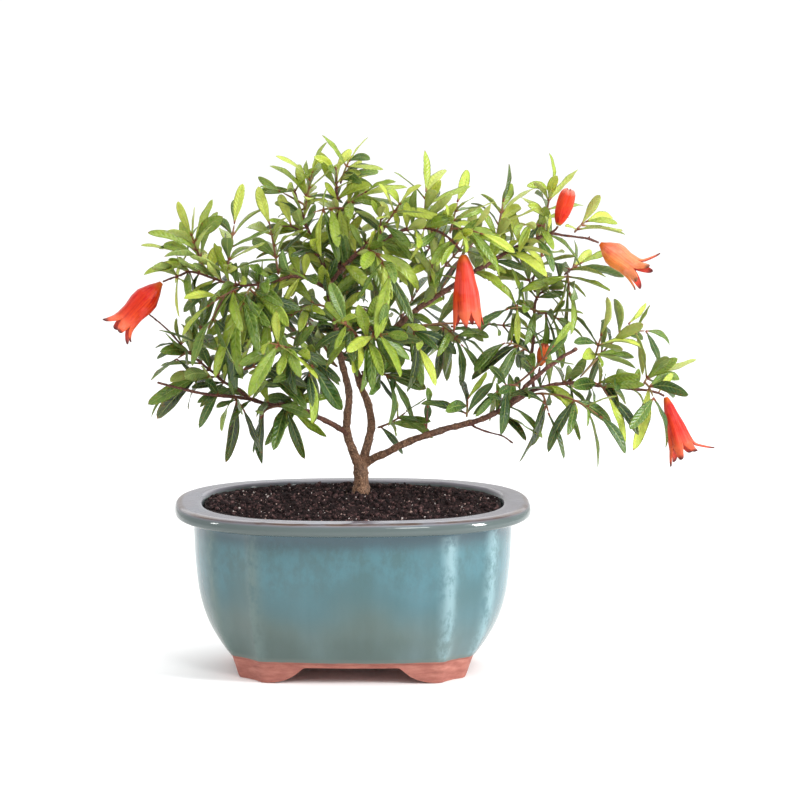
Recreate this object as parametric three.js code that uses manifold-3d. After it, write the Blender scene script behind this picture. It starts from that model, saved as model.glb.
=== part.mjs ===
// Pomegranate bonsai in a glazed pot. Millimetres, +Z up, feet on z = 0.
// The pot, its drainage screen, the soil, the grown wood, every leafy shoot and
// every flower and bud are separate closed solids. Leaves are thin folded blades
// set in pairs along each shoot by a seeded rule that keeps them clear of others.
import * as THREE from "three";
import { mergeVertices } from "three/addons/utils/BufferGeometryUtils.js";
import Module from "manifold-3d";

const wasm = await Module();
wasm.setup();

// ---------------------------------------------------------------- driving sizes

const GAP = 0.3; // clearance kept between pieces that touch

const POT = {
  sideSteps: 2, // outline points in a quarter of the plan: half the side panel,
  cornerSteps: 4, // the cut corner
  panelSteps: 4, // and half the front panel
  cornerHollow: 1.6,
  ovalPower: 2.55, // a level wholly softened is an oval of this power, 2 being an ellipse
  twist: 2.4, // degrees that such a level is turned from the feet
  footHeight: 9.5,
  floorTop: 17.5,
  holeRadius: 7,
  holeOffset: 38, // drainage holes, left and right of the centre
  holeSides: 16,
  insideFrom: 11, // first level of the section below that is inside the pot
};

// Where the panels of the plan meet the cut corner, at the foot and at the top.
const POT_PLAN = {
  footHalfWidth: 66.5,
  growth: 25, // half-width gained from the foot to the top
  sideInset: [2, 10],
  sideEdge: [29, 36],
  frontEdge: [51, 57],
  frontInset: [3.5, 7.5],
};

// Pot section from the foot up the outside, over the lip and down the inside:
// half-width, half-depth, height, and how far the plan is softened to an oval.
const POT_SECTION = [
  { halfWidth: 66.5, halfDepth: 48.5, z: 0, soft: 0 },
  { halfWidth: 71.5, halfDepth: 52.2, z: 12, soft: 0 },
  { halfWidth: 78, halfDepth: 56, z: 20, soft: 0 },
  { halfWidth: 83.4, halfDepth: 59.8, z: 29.5, soft: 0 },
  { halfWidth: 87.8, halfDepth: 63, z: 43, soft: 0 },
  { halfWidth: 90.3, halfDepth: 64.6, z: 62, soft: 0 },
  { halfWidth: 91.4, halfDepth: 65.2, z: 87.6, soft: 0.1 },
  { halfWidth: 100.2, halfDepth: 74.3, z: 89.8, soft: 0.8 },
  { halfWidth: 102.2, halfDepth: 76.3, z: 93, soft: 1 },
  { halfWidth: 100.2, halfDepth: 74.4, z: 97.3, soft: 1 },
  { halfWidth: 87, halfDepth: 63, z: 97.7, soft: 0.8 },
  { halfWidth: 85, halfDepth: 60.8, z: 92.6, soft: 0.5 },
  { halfWidth: 83, halfDepth: 58.6, z: 54, soft: 0.3 },
  { halfWidth: 67, halfDepth: 46.5, z: 22, soft: 0.5 },
  { halfWidth: 58, halfDepth: 40, z: 17.5, soft: 0.5 },
];

// Arches between the feet: half-widths at the ground and at their flat top.
const FOOT_ARCH = {
  front: [50, 26],
  side: [30, 16],
  shoulder: [0.75, 0.17], // pull of the curve at its lower and upper end, as shares of its run
  reach: 240,
};

const SCREEN = { width: 98, depth: 24, thickness: 1, columns: 7, rows: 2, bar: 3 };

const SOIL = {
  rimLevel: 95.8,
  mound: 4.2,
  grain: 1.1,
  reach: [84, 60], // half-width and half-depth over which the mound falls away
  edgeGap: 0.6,
  wallGap: 0.4,
  rings: [1, 0.75, 0.35],
  trunkHoleSides: 14,
};

const WOOD_SIDES = { limb: 6, twig: 5 };
const STEM = {
  sides: 4,
  rootRadius: 1.1,
  tipRadius: 0.75,
  nodeHalf: 0.55, // half the length of stem that one bud takes
  budRoom: 2.42, // least length of stem between two buds
  longestStep: 20,
  clearance: 2.6,
  samples: 16,
};
const LEAF = {
  thickness: 1.0,
  widthShare: 0.14, // half-width of the blade as a share of its length
  channel: 0.28, // how far the edges rise, as a share of the half-width
  stations: [0.27, 0.66],
  pairSpacing: 8,
  leastSpacing: 3.6,
  clearance: 3.5, // least distance between sample points of two blades
  kinShare: 0.75, // of that distance, between blades of one shoot
  woodClearance: 2.4,
  woodSamples: 5, // for each knot of a branch
  tipSpread: 0.2, // angle from the stem of the leaf at its tip
  spread: 0.72, // and of the first pair
  spreadStep: 0.1, // more for each pair further back
  leastSpread: 0.5,
  youngShare: 0.85, // size of the leaf at the tip
  jitter: { turn: 0.7, spread: 0.4, roll: 1.1, sizeLeast: 0.84, size: 0.28 },
  facing: { axis: 0.5, outward: 0.8, up: 0.6 },
  seed: 20260,
  seedStep: 7919,
};
// The leaves face away from the heart of the crown, mostly forwards or backwards.
const CROWN = { heart: new THREE.Vector3(5, 8, 185), facing: new THREE.Vector3(0.35, 1, 0.4) };

// ------------------------------------------------------------- the grown wood
// Each branch is a smooth curve through its knots; a branch starts inside the
// one it grows from. Radii are at its two ends.

const BRANCHES = {
  trunk: {
    radii: [4.9, 3.9],
    points: [[4.5, 8, 57], [4.3, 8, 87], [4.7, 8, 105], [4.5, 8, 119]],
  },
  leftLimb: {
    radii: [3.1, 0.9],
    points: [
      [4, 8, 115], [-1, 6, 128], [-3.5, 4, 137], [-3, 2, 147], [-2, 0, 158], [-4, -3, 170],
      [-7, -6, 182], [-9, -8, 196], [-12, -9, 210], [-14, -8, 221], [-17, -6, 236],
      [-23, -3, 249], [-28, 0, 261], [-34, 4, 278],
    ],
  },
  centreLimb: {
    radii: [3.0, 0.8],
    points: [
      [5, 8, 116], [9, 11, 131], [10.5, 13, 141], [8, 14, 153], [4, 13, 163], [1, 12, 175],
      [-3, 10, 189], [-5, 9, 204], [-6, 7, 219], [-8, 5, 239], [-8, 3, 257], [-9, 2, 275],
      [-10, 2, 291],
    ],
  },
  rightLimb: {
    radii: [2.7, 1.2],
    points: [
      [6, 8, 116], [12, 6, 121], [20, 3, 125], [30, 0, 131], [42, -3, 136], [52, -6, 140],
      [62, -8, 143], [72, -10, 146], [80, -12, 150], [88, -13, 154], [95, -15, 162],
      [102, -17, 170], [110, -19, 177], [119, -21, 184], [128, -23, 190],
    ],
  },
  leftLow: {
    radii: [1.9, 0.8],
    points: [
      [-3.5, 4, 136], [-12, 0, 142], [-26, -6, 150], [-38, -10, 155], [-46, -12, 155],
      [-58, -16, 159], [-70, -18, 161], [-85, -20, 163], [-100, -22, 167], [-111, -23, 170],
    ],
  },
  leftLowFork: {
    radii: [1.2, 0.6],
    points: [
      [-58, -16, 159], [-65, -14, 164], [-73, -12, 168], [-80, -10, 174], [-88, -8, 180],
      [-95, -7, 186], [-106, -6, 198], [-117, -5, 207],
    ],
  },
  upperLeft: {
    radii: [1.3, 0.7],
    points: [
      [-14, -8, 221], [-24, -12, 228], [-35, -16, 230], [-48, -20, 227], [-60, -22, 226],
      [-70, -22, 227], [-80, -20, 230], [-91, -18, 233], [-100, -17, 230], [-108, -16, 227],
    ],
  },
  crossBranch: {
    radii: [1.5, 0.8],
    points: [
      [-14, -8, 223], [-5, -12, 235], [5, -15, 245], [13, -17, 249], [22, -19, 254],
      [31, -21, 258], [41, -22, 259], [50, -23, 257], [57, -24, 252], [62.2, -26, 246],
    ],
  },
  greyBranch: {
    radii: [2.3, 1.0],
    points: [
      [4, 13, 163], [12, 8, 177], [24, 1, 197], [38, -5, 210], [52, -8, 220], [70, -9, 232],
      [80, -8, 238], [90, -6, 244], [102, -4, 249], [112, -2, 253],
    ],
  },
  rightFork: {
    radii: [1.7, 0.8],
    points: [
      [88, -13, 154], [96, -9, 159], [104, -6, 163], [112, -4, 165], [120, -2, 166],
      [127, 0, 166], [137, 0, 165], [148, -1, 164], [160, -2, 163], [172, -4, 162],
      [178.5, -5, 159.5],
    ],
  },
  rightRiser: {
    radii: [1.3, 0.7],
    points: [
      [104, -6, 163], [102, 1, 175], [103, 7, 186], [104, 11, 197], [104, 14, 207],
      [106, 16, 214], [112, 19, 218], [120, 22, 223],
    ],
  },
  flowerStalk: {
    radii: [0.9, 0.8],
    points: [[112, -2, 253], [122, -4, 252], [132, -6, 251], [140.5, -8, 248.5]],
  },
  budStalk: {
    radii: [0.9, 0.8],
    points: [[110, -2.5, 252], [115, -6, 255], [117, -8, 258]],
  },
  smallBudStalk: {
    radii: [0.8, 0.7],
    points: [[105, -17.6, 172.5], [106.5, -12, 174.5], [107, -8, 176.5]],
  },
  curledTwig: {
    radii: [0.8, 0.6],
    points: [[67, -9, 144], [71, -12, 142], [78, -15, 140], [86, -17, 138], [92, -18, 134]],
  },
};

// ------------------------------------------------------------ the leafy shoots
// A shoot grows from a branch at a knot number, and has one or more young stems.
// Each stem has its tip, number and length of leaves, their droop and its own bow.
// Side stems leave the first stem at a share of its length. The seed of a shoot
// settles how its leaves are turned.

function stem(tip, leaves, length, droop = 0.1, bow = 2, from = 0) {
  return { tip, leaves, length, droop, bow, from };
}

const SHOOTS = [
  {
    name: "left_low_tip",
    on: "leftLowFork",
    at: 2,
    seed: 0,
    stems: [stem([-94, -14, 170], 5, 31, 0.5, 3)],
  },
  {
    name: "left_low_mid",
    on: "leftLow",
    at: 6,
    seed: 0,
    stems: [stem([-62, -25, 155], 4, 28, 0.4, 2)],
  },
  {
    name: "left_low_hang",
    on: "leftLow",
    at: 3.6,
    seed: 4,
    stems: [stem([-52, -20, 150], 5, 24, 0.4, 2), stem([-34, -15, 152], 4, 27, 0.4, 2, 0.3)],
  },
  {
    name: "left_low_rise",
    on: "leftLow",
    at: 2.4,
    seed: 1,
    stems: [stem([-42, 0, 169], 6, 25, 0.4, 3)],
  },
  {
    name: "left_arch",
    on: "leftLowFork",
    at: 1.7,
    seed: 0,
    stems: [stem([-50, -24, 179], 5, 34, 0.3, 4), stem([-71, -4, 183], 4, 25, 0.2, 2, 0.15)],
  },
  {
    name: "left_upright",
    on: "leftLowFork",
    at: 4,
    seed: 0,
    stems: [stem([-86, -14, 199], 7, 31, 0.2, 1), stem([-100, -20, 183], 3, 29, 0.4, 2, 0.15)],
  },
  {
    name: "upper_left_twig",
    on: "upperLeft",
    at: 4,
    seed: 5,
    stems: [stem([-81, -31, 216], 5, 27, 0.4, 1), stem([-82, -36, 202], 3, 28, 0.8, 0, 0.6)],
  },
  {
    name: "upper_left_fan",
    on: "upperLeft",
    at: 6.3,
    seed: 5,
    stems: [stem([-91, -27, 255], 8, 31, 0.05, 1), stem([-99, -13, 244], 5, 25, 0.1, 1, 0.3)],
  },
  {
    name: "upper_left_crown",
    on: "upperLeft",
    at: 5.2,
    seed: 0,
    stems: [stem([-67, -14, 260], 9, 28, 0.05, 1)],
  },
  {
    name: "upper_left_hang",
    on: "upperLeft",
    at: 3.6,
    seed: 7,
    stems: [stem([-64, -33, 212], 6, 33, 0.8, 3), stem([-48, -34, 211], 5, 29, 0.6, 2, 0.2)],
  },
  {
    name: "upper_left_rise",
    on: "upperLeft",
    at: 2.5,
    seed: 2,
    stems: [stem([-47, -10, 259], 8, 26, 0.1, 1)],
  },
  {
    name: "leader_leaf",
    on: "leftLimb",
    at: 11,
    seed: 1,
    stems: [stem([-41, -9, 258], 5, 33, 0.35, 3)],
  },
  {
    name: "top_left",
    on: "leftLimb",
    at: 12,
    seed: 11,
    stems: [stem([-23, 1, 287], 9, 27, 0.05, 1), stem([-41, -9, 278], 3, 17, 0.1, 1, 0.2)],
  },
  {
    name: "top",
    on: "centreLimb",
    at: 10.9,
    seed: 11,
    stems: [stem([-2, 0, 294], 7, 25, 0.1, 2)],
  },
  {
    name: "top_right",
    on: "centreLimb",
    at: 10.3,
    seed: 5,
    stems: [stem([7, -6, 277], 7, 26, 0.1, 1), stem([-21, -14, 267], 6, 25, 0.15, 1, 0.2)],
  },
  {
    name: "cross_inner",
    on: "crossBranch",
    at: 3.4,
    seed: 0,
    stems: [stem([16, -12, 269], 5, 23, 0.1, 0), stem([27, -26, 273], 6, 26, 0.05, 0, 0.25)],
  },
  {
    name: "cross_middle",
    on: "crossBranch",
    at: 6,
    seed: 0,
    stems: [stem([42, -17, 279], 9, 28, 0.05, 0)],
  },
  {
    name: "cross_outer",
    on: "crossBranch",
    at: 7.7,
    seed: 8,
    stems: [stem([60, -15, 273], 7, 28, 0.1, 0), stem([73, -28, 257], 5, 30, 0.2, 1, 0.25)],
  },
  {
    name: "cross_hang",
    on: "crossBranch",
    at: 2,
    seed: 0,
    stems: [stem([22, -36, 235], 7, 29, 0.6, 5)],
  },
  {
    name: "grey_rise",
    on: "greyBranch",
    at: 6,
    seed: 0,
    stems: [stem([86, -2, 271], 9, 27, 0.1, 1)],
  },
  {
    name: "grey_tip",
    on: "greyBranch",
    at: 8.6,
    seed: 0,
    stems: [stem([113, 4, 276], 8, 26, 0.05, 0), stem([98, -16, 260], 5, 23, 0.1, 1, 0.2)],
  },
  {
    name: "flower_stalk_leaves",
    on: "flowerStalk",
    at: 1.3,
    seed: 0,
    stems: [stem([133, 2, 259], 4, 28, 0.3, 1)],
  },
  {
    name: "middle_twig",
    on: "greyBranch",
    at: 3.4,
    seed: 3,
    stems: [stem([47, 2, 253], 7, 26, 0.1, -3), stem([62, 8, 243], 6, 26, 0.1, 0, 0.35)],
  },
  {
    name: "thin_twig",
    on: "greyBranch",
    at: 2,
    seed: 6,
    stems: [
      stem([94, 14, 196], 5, 22, 0.3, 3),
      stem([38, -16, 189], 6, 27, 0.5, 3, 0.08),
      stem([62, -4, 189], 6, 24, 0.4, 2, 0.35),
    ],
  },
  {
    name: "riser_fork",
    on: "rightRiser",
    at: 5,
    seed: 2,
    stems: [stem([93, 25, 243], 8, 27, 0.1, -3), stem([110, 27, 241], 6, 27, 0.1, 0, 0.3)],
  },
  {
    name: "riser_tip",
    on: "rightRiser",
    at: 6.6,
    seed: 0,
    stems: [stem([130, 26, 231], 6, 27, 0.2, 1), stem([124, 9, 217], 5, 33, 0.3, 1, 0.2)],
  },
  {
    name: "riser_right",
    on: "rightRiser",
    at: 3.6,
    seed: 3,
    stems: [stem([117, 4, 203], 6, 26, 0.3, 2), stem([89, 0, 209], 6, 25, 0.2, 2, 0.2)],
  },
  {
    name: "riser_left",
    on: "rightRiser",
    at: 1.6,
    seed: 8,
    stems: [stem([87, 1, 189], 6, 31, 0.35, 2)],
  },
  {
    name: "limb_end",
    on: "rightLimb",
    at: 10.4,
    seed: 6,
    stems: [stem([83, -21, 165], 5, 23, 0.2, 3), stem([114, -26, 191], 4, 25, 0.1, -2, 0.15)],
  },
  {
    name: "low_twig",
    on: "rightFork",
    at: 1.2,
    seed: 0,
    stems: [stem([141, -29, 152], 6, 27, 0.4, 6), stem([112, -24, 153], 4, 30, 0.3, 1, 0.25)],
  },
  {
    name: "right_twig",
    on: "rightFork",
    at: 5,
    seed: 12,
    stems: [
      stem([158, 19, 197], 7, 27, 0.2, 0),
      stem([142, 2, 193], 5, 29, 0.1, 0, 0.35),
      stem([168, 20, 193], 4, 21, 0.4, 2, 0.72),
    ],
  },
  {
    name: "right_hang",
    on: "rightFork",
    at: 6,
    seed: 1,
    stems: [stem([146, -14, 161], 5, 30, 0.4, 3)],
  },
  {
    name: "right_end",
    on: "rightFork",
    at: 8.4,
    seed: 2,
    stems: [stem([170, 5, 170], 4, 31, 0.15, 1), stem([172, -14, 160], 3, 29, 0.5, 2, 0.2)],
  },
  {
    name: "limb_pair",
    on: "rightLimb",
    at: 6.3,
    seed: 0,
    stems: [stem([66, -13, 159], 4, 30, 0.2, 0)],
  },
  {
    name: "limb_spur",
    on: "rightLimb",
    at: 4,
    seed: 10,
    stems: [stem([43, -8, 153], 5, 18, 0.5, 0)],
  },
  {
    name: "small_twig",
    on: "centreLimb",
    at: 1.6,
    seed: 5,
    stems: [stem([31, 2, 149], 6, 22, 0.5, -2)],
  },
  {
    name: "centre_right",
    on: "centreLimb",
    at: 4,
    seed: 0,
    stems: [stem([23, -2, 169], 7, 26, 0.5, 4)],
  },
  {
    name: "centre_front",
    on: "centreLimb",
    at: 6,
    seed: 0,
    stems: [stem([12, -14, 198], 7, 33, 0.6, 5)],
  },
  {
    name: "left_inner",
    on: "leftLimb",
    at: 5.2,
    seed: 2,
    stems: [stem([-25, 4, 179], 6, 25, 0.4, 3), stem([-24, 10, 198], 6, 26, 0.2, 1, 0.3)],
  },
  {
    name: "left_middle",
    on: "leftLimb",
    at: 8,
    seed: 3,
    stems: [stem([-34, -16, 208], 8, 28, 0.4, 4)],
  },
  {
    name: "front_middle",
    on: "leftLimb",
    at: 6,
    seed: 0,
    stems: [stem([20, -52, 203], 8, 28, 0.4, 3), stem([-6, -48, 209], 6, 27, 0.3, 2, 0.45)],
  },
  {
    name: "front_left",
    on: "leftLimb",
    at: 4.6,
    seed: 2,
    stems: [stem([-46, -54, 198], 8, 28, 0.4, 4), stem([-24, -48, 179], 5, 26, 0.6, 3, 0.45)],
  },
  {
    name: "back_left",
    on: "leftLimb",
    at: 3.2,
    seed: 0,
    stems: [
      stem([-56, 60, 209], 7, 29, 0.3, 5),
      stem([-62, 32, 193], 5, 28, 0.4, 3, 0.5),
      stem([-24, 54, 193], 5, 27, 0.3, 3, 0.5),
    ],
  },
  {
    name: "back_right",
    on: "centreLimb",
    at: 3,
    seed: 1,
    stems: [
      stem([36, 70, 207], 7, 29, 0.3, 5),
      stem([56, 48, 191], 5, 27, 0.4, 3, 0.5),
      stem([6, 60, 199], 5, 27, 0.3, 3, 0.5),
    ],
  },
  {
    name: "back_top",
    on: "centreLimb",
    at: 7.5,
    seed: 1,
    stems: [
      stem([-4, 54, 247], 7, 28, 0.2, 3),
      stem([12, 24, 249], 5, 26, 0.1, 1, 0.3),
      stem([-36, 34, 237], 5, 27, 0.2, 2, 0.4),
    ],
  },
  {
    name: "back_far",
    on: "greyBranch",
    at: 3.8,
    seed: 0,
    stems: [stem([70, 46, 241], 7, 28, 0.3, 3), stem([40, 44, 239], 5, 27, 0.2, 2, 0.4)],
  },
];

// -------------------------------------------------------------- the flowers
// Base of the calyx, centre of its mouth, mouth radius and length of the lobes.

const FLOWERS = [
  { name: "left", base: [-108.6, -16.2, 226.4], mouth: [-127.8, -21.5, 203.9], radius: 7.5, lobe: 10 },
  { name: "front", base: [63.4, -26.7, 244.4], mouth: [65.5, -28.4, 213.4], radius: 7.9, lobe: 11.5 },
  { name: "right_upper", base: [141.2, -8.6, 248.1], mouth: [161.5, -13, 236], radius: 7.2, lobe: 10 },
  { name: "right_lower", base: [179, -5.3, 158.8], mouth: [187.7, -8.7, 133], radius: 7.1, lobe: 11 },
];
const BUDS = [
  { name: "top", base: [117.3, -8.1, 258.7], tip: [123.6, -9, 279], radius: 5.2 },
  { name: "small", base: [107.1, -7.9, 177.3], tip: [110, -9, 190], radius: 3.4 },
];
const CALYX = {
  sides: 12, // two for each pointed lobe
  wall: 1.1,
  // share of the way from base to mouth, radius as a share of the mouth radius
  outside: [[0.0, 0.16], [0.07, 0.42], [0.2, 0.66], [0.45, 0.76], [0.75, 0.84]],
  cup: [[0.8, 0.72], [0.55, 0.45]],
  flare: 1.22, // radius of the lobe tips as a share of the mouth radius
};
// Room that leaves keep round a flower: from its base to past its lobes.
const FLOWER_ROOM = { samples: 8, shares: [0.12, 1.24], swell: [0.8, 1.35] };
const BUD_SECTION = [[0, 0.28], [0.15, 0.52], [0.4, 0.84], [0.68, 1], [0.88, 0.7]];
const PETALS = { inset: 1.9, rise: 3.2, fold: 1.6, foot: 0.35 };

// ------------------------------------------------------------------- helpers

const UP = new THREE.Vector3(0, 0, 1);

function vector(point) {
  return new THREE.Vector3(...point);
}

function lerp(a, b, share) {
  return a + (b - a) * share;
}

// Skins a row of rings. An end closes in a ring of one point, or else flat.
// Neighbouring faces take mirrored diagonals; parity says which come first, so
// that two skins that face each other can be split alike.
function skin(rings, parity = 0) {
  const positions = [];
  const starts = rings.map((ring) => {
    const start = positions.length / 3;
    ring.forEach((p) => positions.push(p.x, p.y, p.z));
    return start;
  });
  const index = [];
  for (let j = 1; j + 1 < rings[0].length; j += 1) {
    index.push(0, j + 1, j);
  }
  const end = starts.at(-1);
  for (let j = 1; j + 1 < rings.at(-1).length; j += 1) {
    index.push(end, end + j, end + j + 1);
  }
  for (let k = 0; k + 1 < rings.length; k += 1) {
    const a = starts[k];
    const b = starts[k + 1];
    const count = Math.max(rings[k].length, rings[k + 1].length);
    for (let j = 0; j < count; j += 1) {
      const next = (j + 1) % count;
      if (rings[k].length === 1) {
        index.push(a, b + next, b + j);
      } else if (rings[k + 1].length === 1) {
        index.push(a + j, a + next, b);
      } else if ((j + parity) % 2 === 0) {
        index.push(a + j, a + next, b + next, a + j, b + next, b + j);
      } else {
        index.push(a + j, a + next, b + j, a + next, b + next, b + j);
      }
    }
  }
  const geometry = new THREE.BufferGeometry();
  geometry.setAttribute("position", new THREE.Float32BufferAttribute(positions, 3));
  geometry.setIndex(index);
  return solid(geometry);
}

function solid(geometry) {
  geometry.deleteAttribute("normal");
  geometry.deleteAttribute("uv");
  const merged = mergeVertices(geometry, 1e-4);
  return new wasm.Manifold(
    new wasm.Mesh({
      numProp: 3,
      vertProperties: new Float32Array(merged.getAttribute("position").array),
      triVerts: new Uint32Array(merged.getIndex().array),
    }),
  );
}

function solidOf(surface) {
  const geometry = new THREE.BufferGeometry().setFromPoints(surface.points);
  geometry.setIndex(surface.index);
  return solid(geometry);
}

function geometryOf(body) {
  const mesh = body.getMesh();
  const geometry = new THREE.BufferGeometry();
  geometry.setAttribute("position", new THREE.BufferAttribute(mesh.vertProperties, 3));
  geometry.setIndex(new THREE.BufferAttribute(mesh.triVerts, 1));
  return geometry;
}

function joined(solids) {
  return solids.reduce((sum, body) => sum.add(body));
}

// Two directions square to an axis, with across x up = axis.
function frameOf(axis, hint = UP) {
  const across = new THREE.Vector3().crossVectors(hint, axis);
  if (across.length() < 0.05) {
    across.crossVectors(new THREE.Vector3(0, 1, 0), axis);
  }
  across.normalize();
  return { across, up: new THREE.Vector3().crossVectors(axis, across) };
}

function ringAt(centre, frame, radius, sides, turn = 0) {
  const ring = [];
  for (let j = 0; j < sides; j += 1) {
    const angle = (j / sides) * 2 * Math.PI + turn;
    ring.push(
      centre
        .clone()
        .addScaledVector(frame.across, Math.cos(angle) * radius)
        .addScaledVector(frame.up, Math.sin(angle) * radius),
    );
  }
  return ring;
}

// A tapered round tube along a curve, with a frame carried along it unturned.
function tube(curve, steps, radii, sides) {
  const rings = [];
  let hint = new THREE.Vector3(0.31, 0.95, 0.05);
  for (let k = 0; k <= steps; k += 1) {
    const share = k / steps;
    const axis = curve.getTangent(share);
    const frame = frameOf(axis, hint);
    hint = frame.up;
    rings.push(ringAt(curve.getPoint(share), frame, lerp(radii[0], radii[1], share), sides));
  }
  return skin(rings);
}

// ------------------------------------------------------------------- the pot

// The corners of a quarter of the pot's plan at one level, from +X round to +Y.
function outlineCorners(level) {
  const share = Math.max(0, (level.halfWidth - POT_PLAN.footHalfWidth) / POT_PLAN.growth);
  return {
    side: [level.halfWidth, 0],
    sideEdge: [
      level.halfWidth - lerp(...POT_PLAN.sideInset, share),
      lerp(...POT_PLAN.sideEdge, share),
    ],
    frontEdge: [
      lerp(...POT_PLAN.frontEdge, share),
      level.halfDepth - lerp(...POT_PLAN.frontInset, share),
    ],
    front: [0, level.halfDepth],
  };
}

// Bowed panels either side of a corner that is cut off and slightly hollow.
function quarterOutline(level) {
  const { side, sideEdge, frontEdge, front } = outlineCorners(level);
  const points = [];
  for (let k = 0; k < POT.sideSteps; k += 1) {
    const t = k / POT.sideSteps;
    points.push([lerp(side[0], sideEdge[0], t * t), lerp(side[1], sideEdge[1], t)]);
  }
  for (let k = 0; k < POT.cornerSteps; k += 1) {
    const t = k / POT.cornerSteps;
    const hollow = POT.cornerHollow * (1 - level.soft) * Math.SQRT1_2 * Math.sin(Math.PI * t);
    const x = lerp(sideEdge[0], frontEdge[0], t) - hollow;
    const y = lerp(sideEdge[1], frontEdge[1], t) - hollow;
    points.push([x, y]);
  }
  for (let k = 0; k < POT.panelSteps; k += 1) {
    const t = 1 - k / POT.panelSteps;
    points.push([frontEdge[0] * t, lerp(front[1], frontEdge[1], t * t)]);
  }
  return points;
}

// The whole plan at one level, drawn in from the wall by an inset.
function potOutline(level, inset = 0) {
  const halfWidth = level.halfWidth - inset;
  const halfDepth = level.halfDepth - inset;
  const quarter = quarterOutline({ ...level, halfWidth, halfDepth });
  const mirrored = [[0, halfDepth], ...quarter.slice(1).reverse()];
  const half = [...quarter, ...mirrored.map(([x, y]) => [-x, y])];
  const round = [...half, ...half.map(([x, y]) => [-x, -y])];
  const power = POT.ovalPower;
  const turn = THREE.MathUtils.degToRad(POT.twist * level.soft);
  return round.map(([x, y]) => {
    const sum = Math.abs(x / halfWidth) ** power + Math.abs(y / halfDepth) ** power;
    const scale = lerp(1, sum ** (-1 / power), level.soft);
    return new THREE.Vector3(x * scale, y * scale, level.z).applyAxisAngle(UP, turn);
  });
}

function archCutter([bottom, top]) {
  const shape = new THREE.Shape();
  const height = POT.footHeight;
  const [lower, upper] = FOOT_ARCH.shoulder.map((share) => share * (bottom - top));
  shape.moveTo(-bottom, -1);
  shape.lineTo(bottom, -1);
  shape.lineTo(bottom, 0);
  shape.bezierCurveTo(bottom - lower, 0, top + upper, height, top, height);
  shape.lineTo(-top, height);
  shape.bezierCurveTo(-top - upper, height, -bottom + lower, 0, -bottom, 0);
  const geometry = new THREE.ExtrudeGeometry(shape, {
    depth: FOOT_ARCH.reach,
    bevelEnabled: false,
    curveSegments: 4,
  });
  geometry.translate(0, 0, -FOOT_ARCH.reach / 2);
  geometry.rotateX(Math.PI / 2);
  return geometry;
}

function buildPot() {
  const rings = POT_SECTION.map((level) => potOutline(level));
  const under = new THREE.Vector3(0, 0, 0);
  const floor = new THREE.Vector3(0, 0, POT.floorTop);
  const body = skin([[under], ...rings, [floor]]);
  const across = solid(archCutter(FOOT_ARCH.front));
  const along = solid(archCutter(FOOT_ARCH.side).rotateZ(Math.PI / 2));
  const holes = [-1, 1].map((side) => {
    const length = 2 * POT.floorTop;
    const drill = new THREE.CylinderGeometry(POT.holeRadius, POT.holeRadius, length, POT.holeSides);
    drill.rotateX(Math.PI / 2);
    drill.translate(side * POT.holeOffset, 0, POT.floorTop);
    return solid(drill);
  });
  return [across, along, ...holes].reduce((pot, cutter) => pot.subtract(cutter), body);
}

// A plate with rows of square holes, lying over both drainage holes.
function buildScreen() {
  const pitchX = (SCREEN.width - SCREEN.bar) / SCREEN.columns;
  const pitchY = (SCREEN.depth - SCREEN.bar) / SCREEN.rows;
  const height = POT.floorTop + GAP + SCREEN.thickness / 2;
  const plate = new THREE.BoxGeometry(SCREEN.width, SCREEN.depth, SCREEN.thickness);
  plate.translate(0, 0, height);
  let screen = solid(plate);
  for (let i = 0; i < SCREEN.columns; i += 1) {
    for (let j = 0; j < SCREEN.rows; j += 1) {
      const cell = new THREE.BoxGeometry(pitchX - SCREEN.bar, pitchY - SCREEN.bar, 3 * SCREEN.thickness);
      const x = (i - (SCREEN.columns - 1) / 2) * pitchX;
      const y = (j - (SCREEN.rows - 1) / 2) * pitchY;
      cell.translate(x, y, height);
      screen = screen.subtract(solid(cell));
    }
  }
  return screen;
}

// ------------------------------------------------------------------ the soil

// A low mound with an uneven top, level where it meets the pot.
function soilHeight(x, y) {
  const out = Math.min(1, Math.hypot(x / SOIL.reach[0], y / SOIL.reach[1]));
  const grain = Math.sin(x * 0.31 + 1.3) * Math.cos(y * 0.37) + 0.6 * Math.sin(x * 0.13 - y * 0.21);
  return SOIL.rimLevel + SOIL.mound * (1 - out * out) + SOIL.grain * grain * (1 - out ** 6);
}

function buildSoil() {
  const inside = POT_SECTION.slice(POT.insideFrom).reverse();
  const walls = inside.map((level) => {
    const ring = potOutline(level, SOIL.wallGap);
    ring.forEach((p) => {
      p.z = Math.max(level.z, POT.floorTop + GAP);
    });
    return ring;
  });
  const edge = potOutline({ ...POT_SECTION[POT.insideFrom], z: SOIL.rimLevel }, SOIL.edgeGap);
  const tops = SOIL.rings.map((share) =>
    edge.map((p) => {
      const x = p.x * share;
      const y = p.y * share;
      return new THREE.Vector3(x, y, share === 1 ? SOIL.rimLevel : soilHeight(x, y));
    }),
  );
  const bottom = new THREE.Vector3(0, 0, POT.floorTop + GAP);
  const peak = new THREE.Vector3(0, 0, soilHeight(0, 0));
  return skin([[bottom], ...walls, ...tops, [peak]], 1);
}

// Room in the soil for the foot of the trunk, from just below it upwards.
function holeForTrunk() {
  const [x, y, z] = BRANCHES.trunk.points[0];
  const radius = BRANCHES.trunk.radii[0] + SOIL.wallGap;
  const length = SOIL.rimLevel;
  const hole = new THREE.CylinderGeometry(radius, radius, length, SOIL.trunkHoleSides);
  hole.rotateX(Math.PI / 2);
  hole.translate(x, y, z - 1 + length / 2);
  return solid(hole);
}

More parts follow.
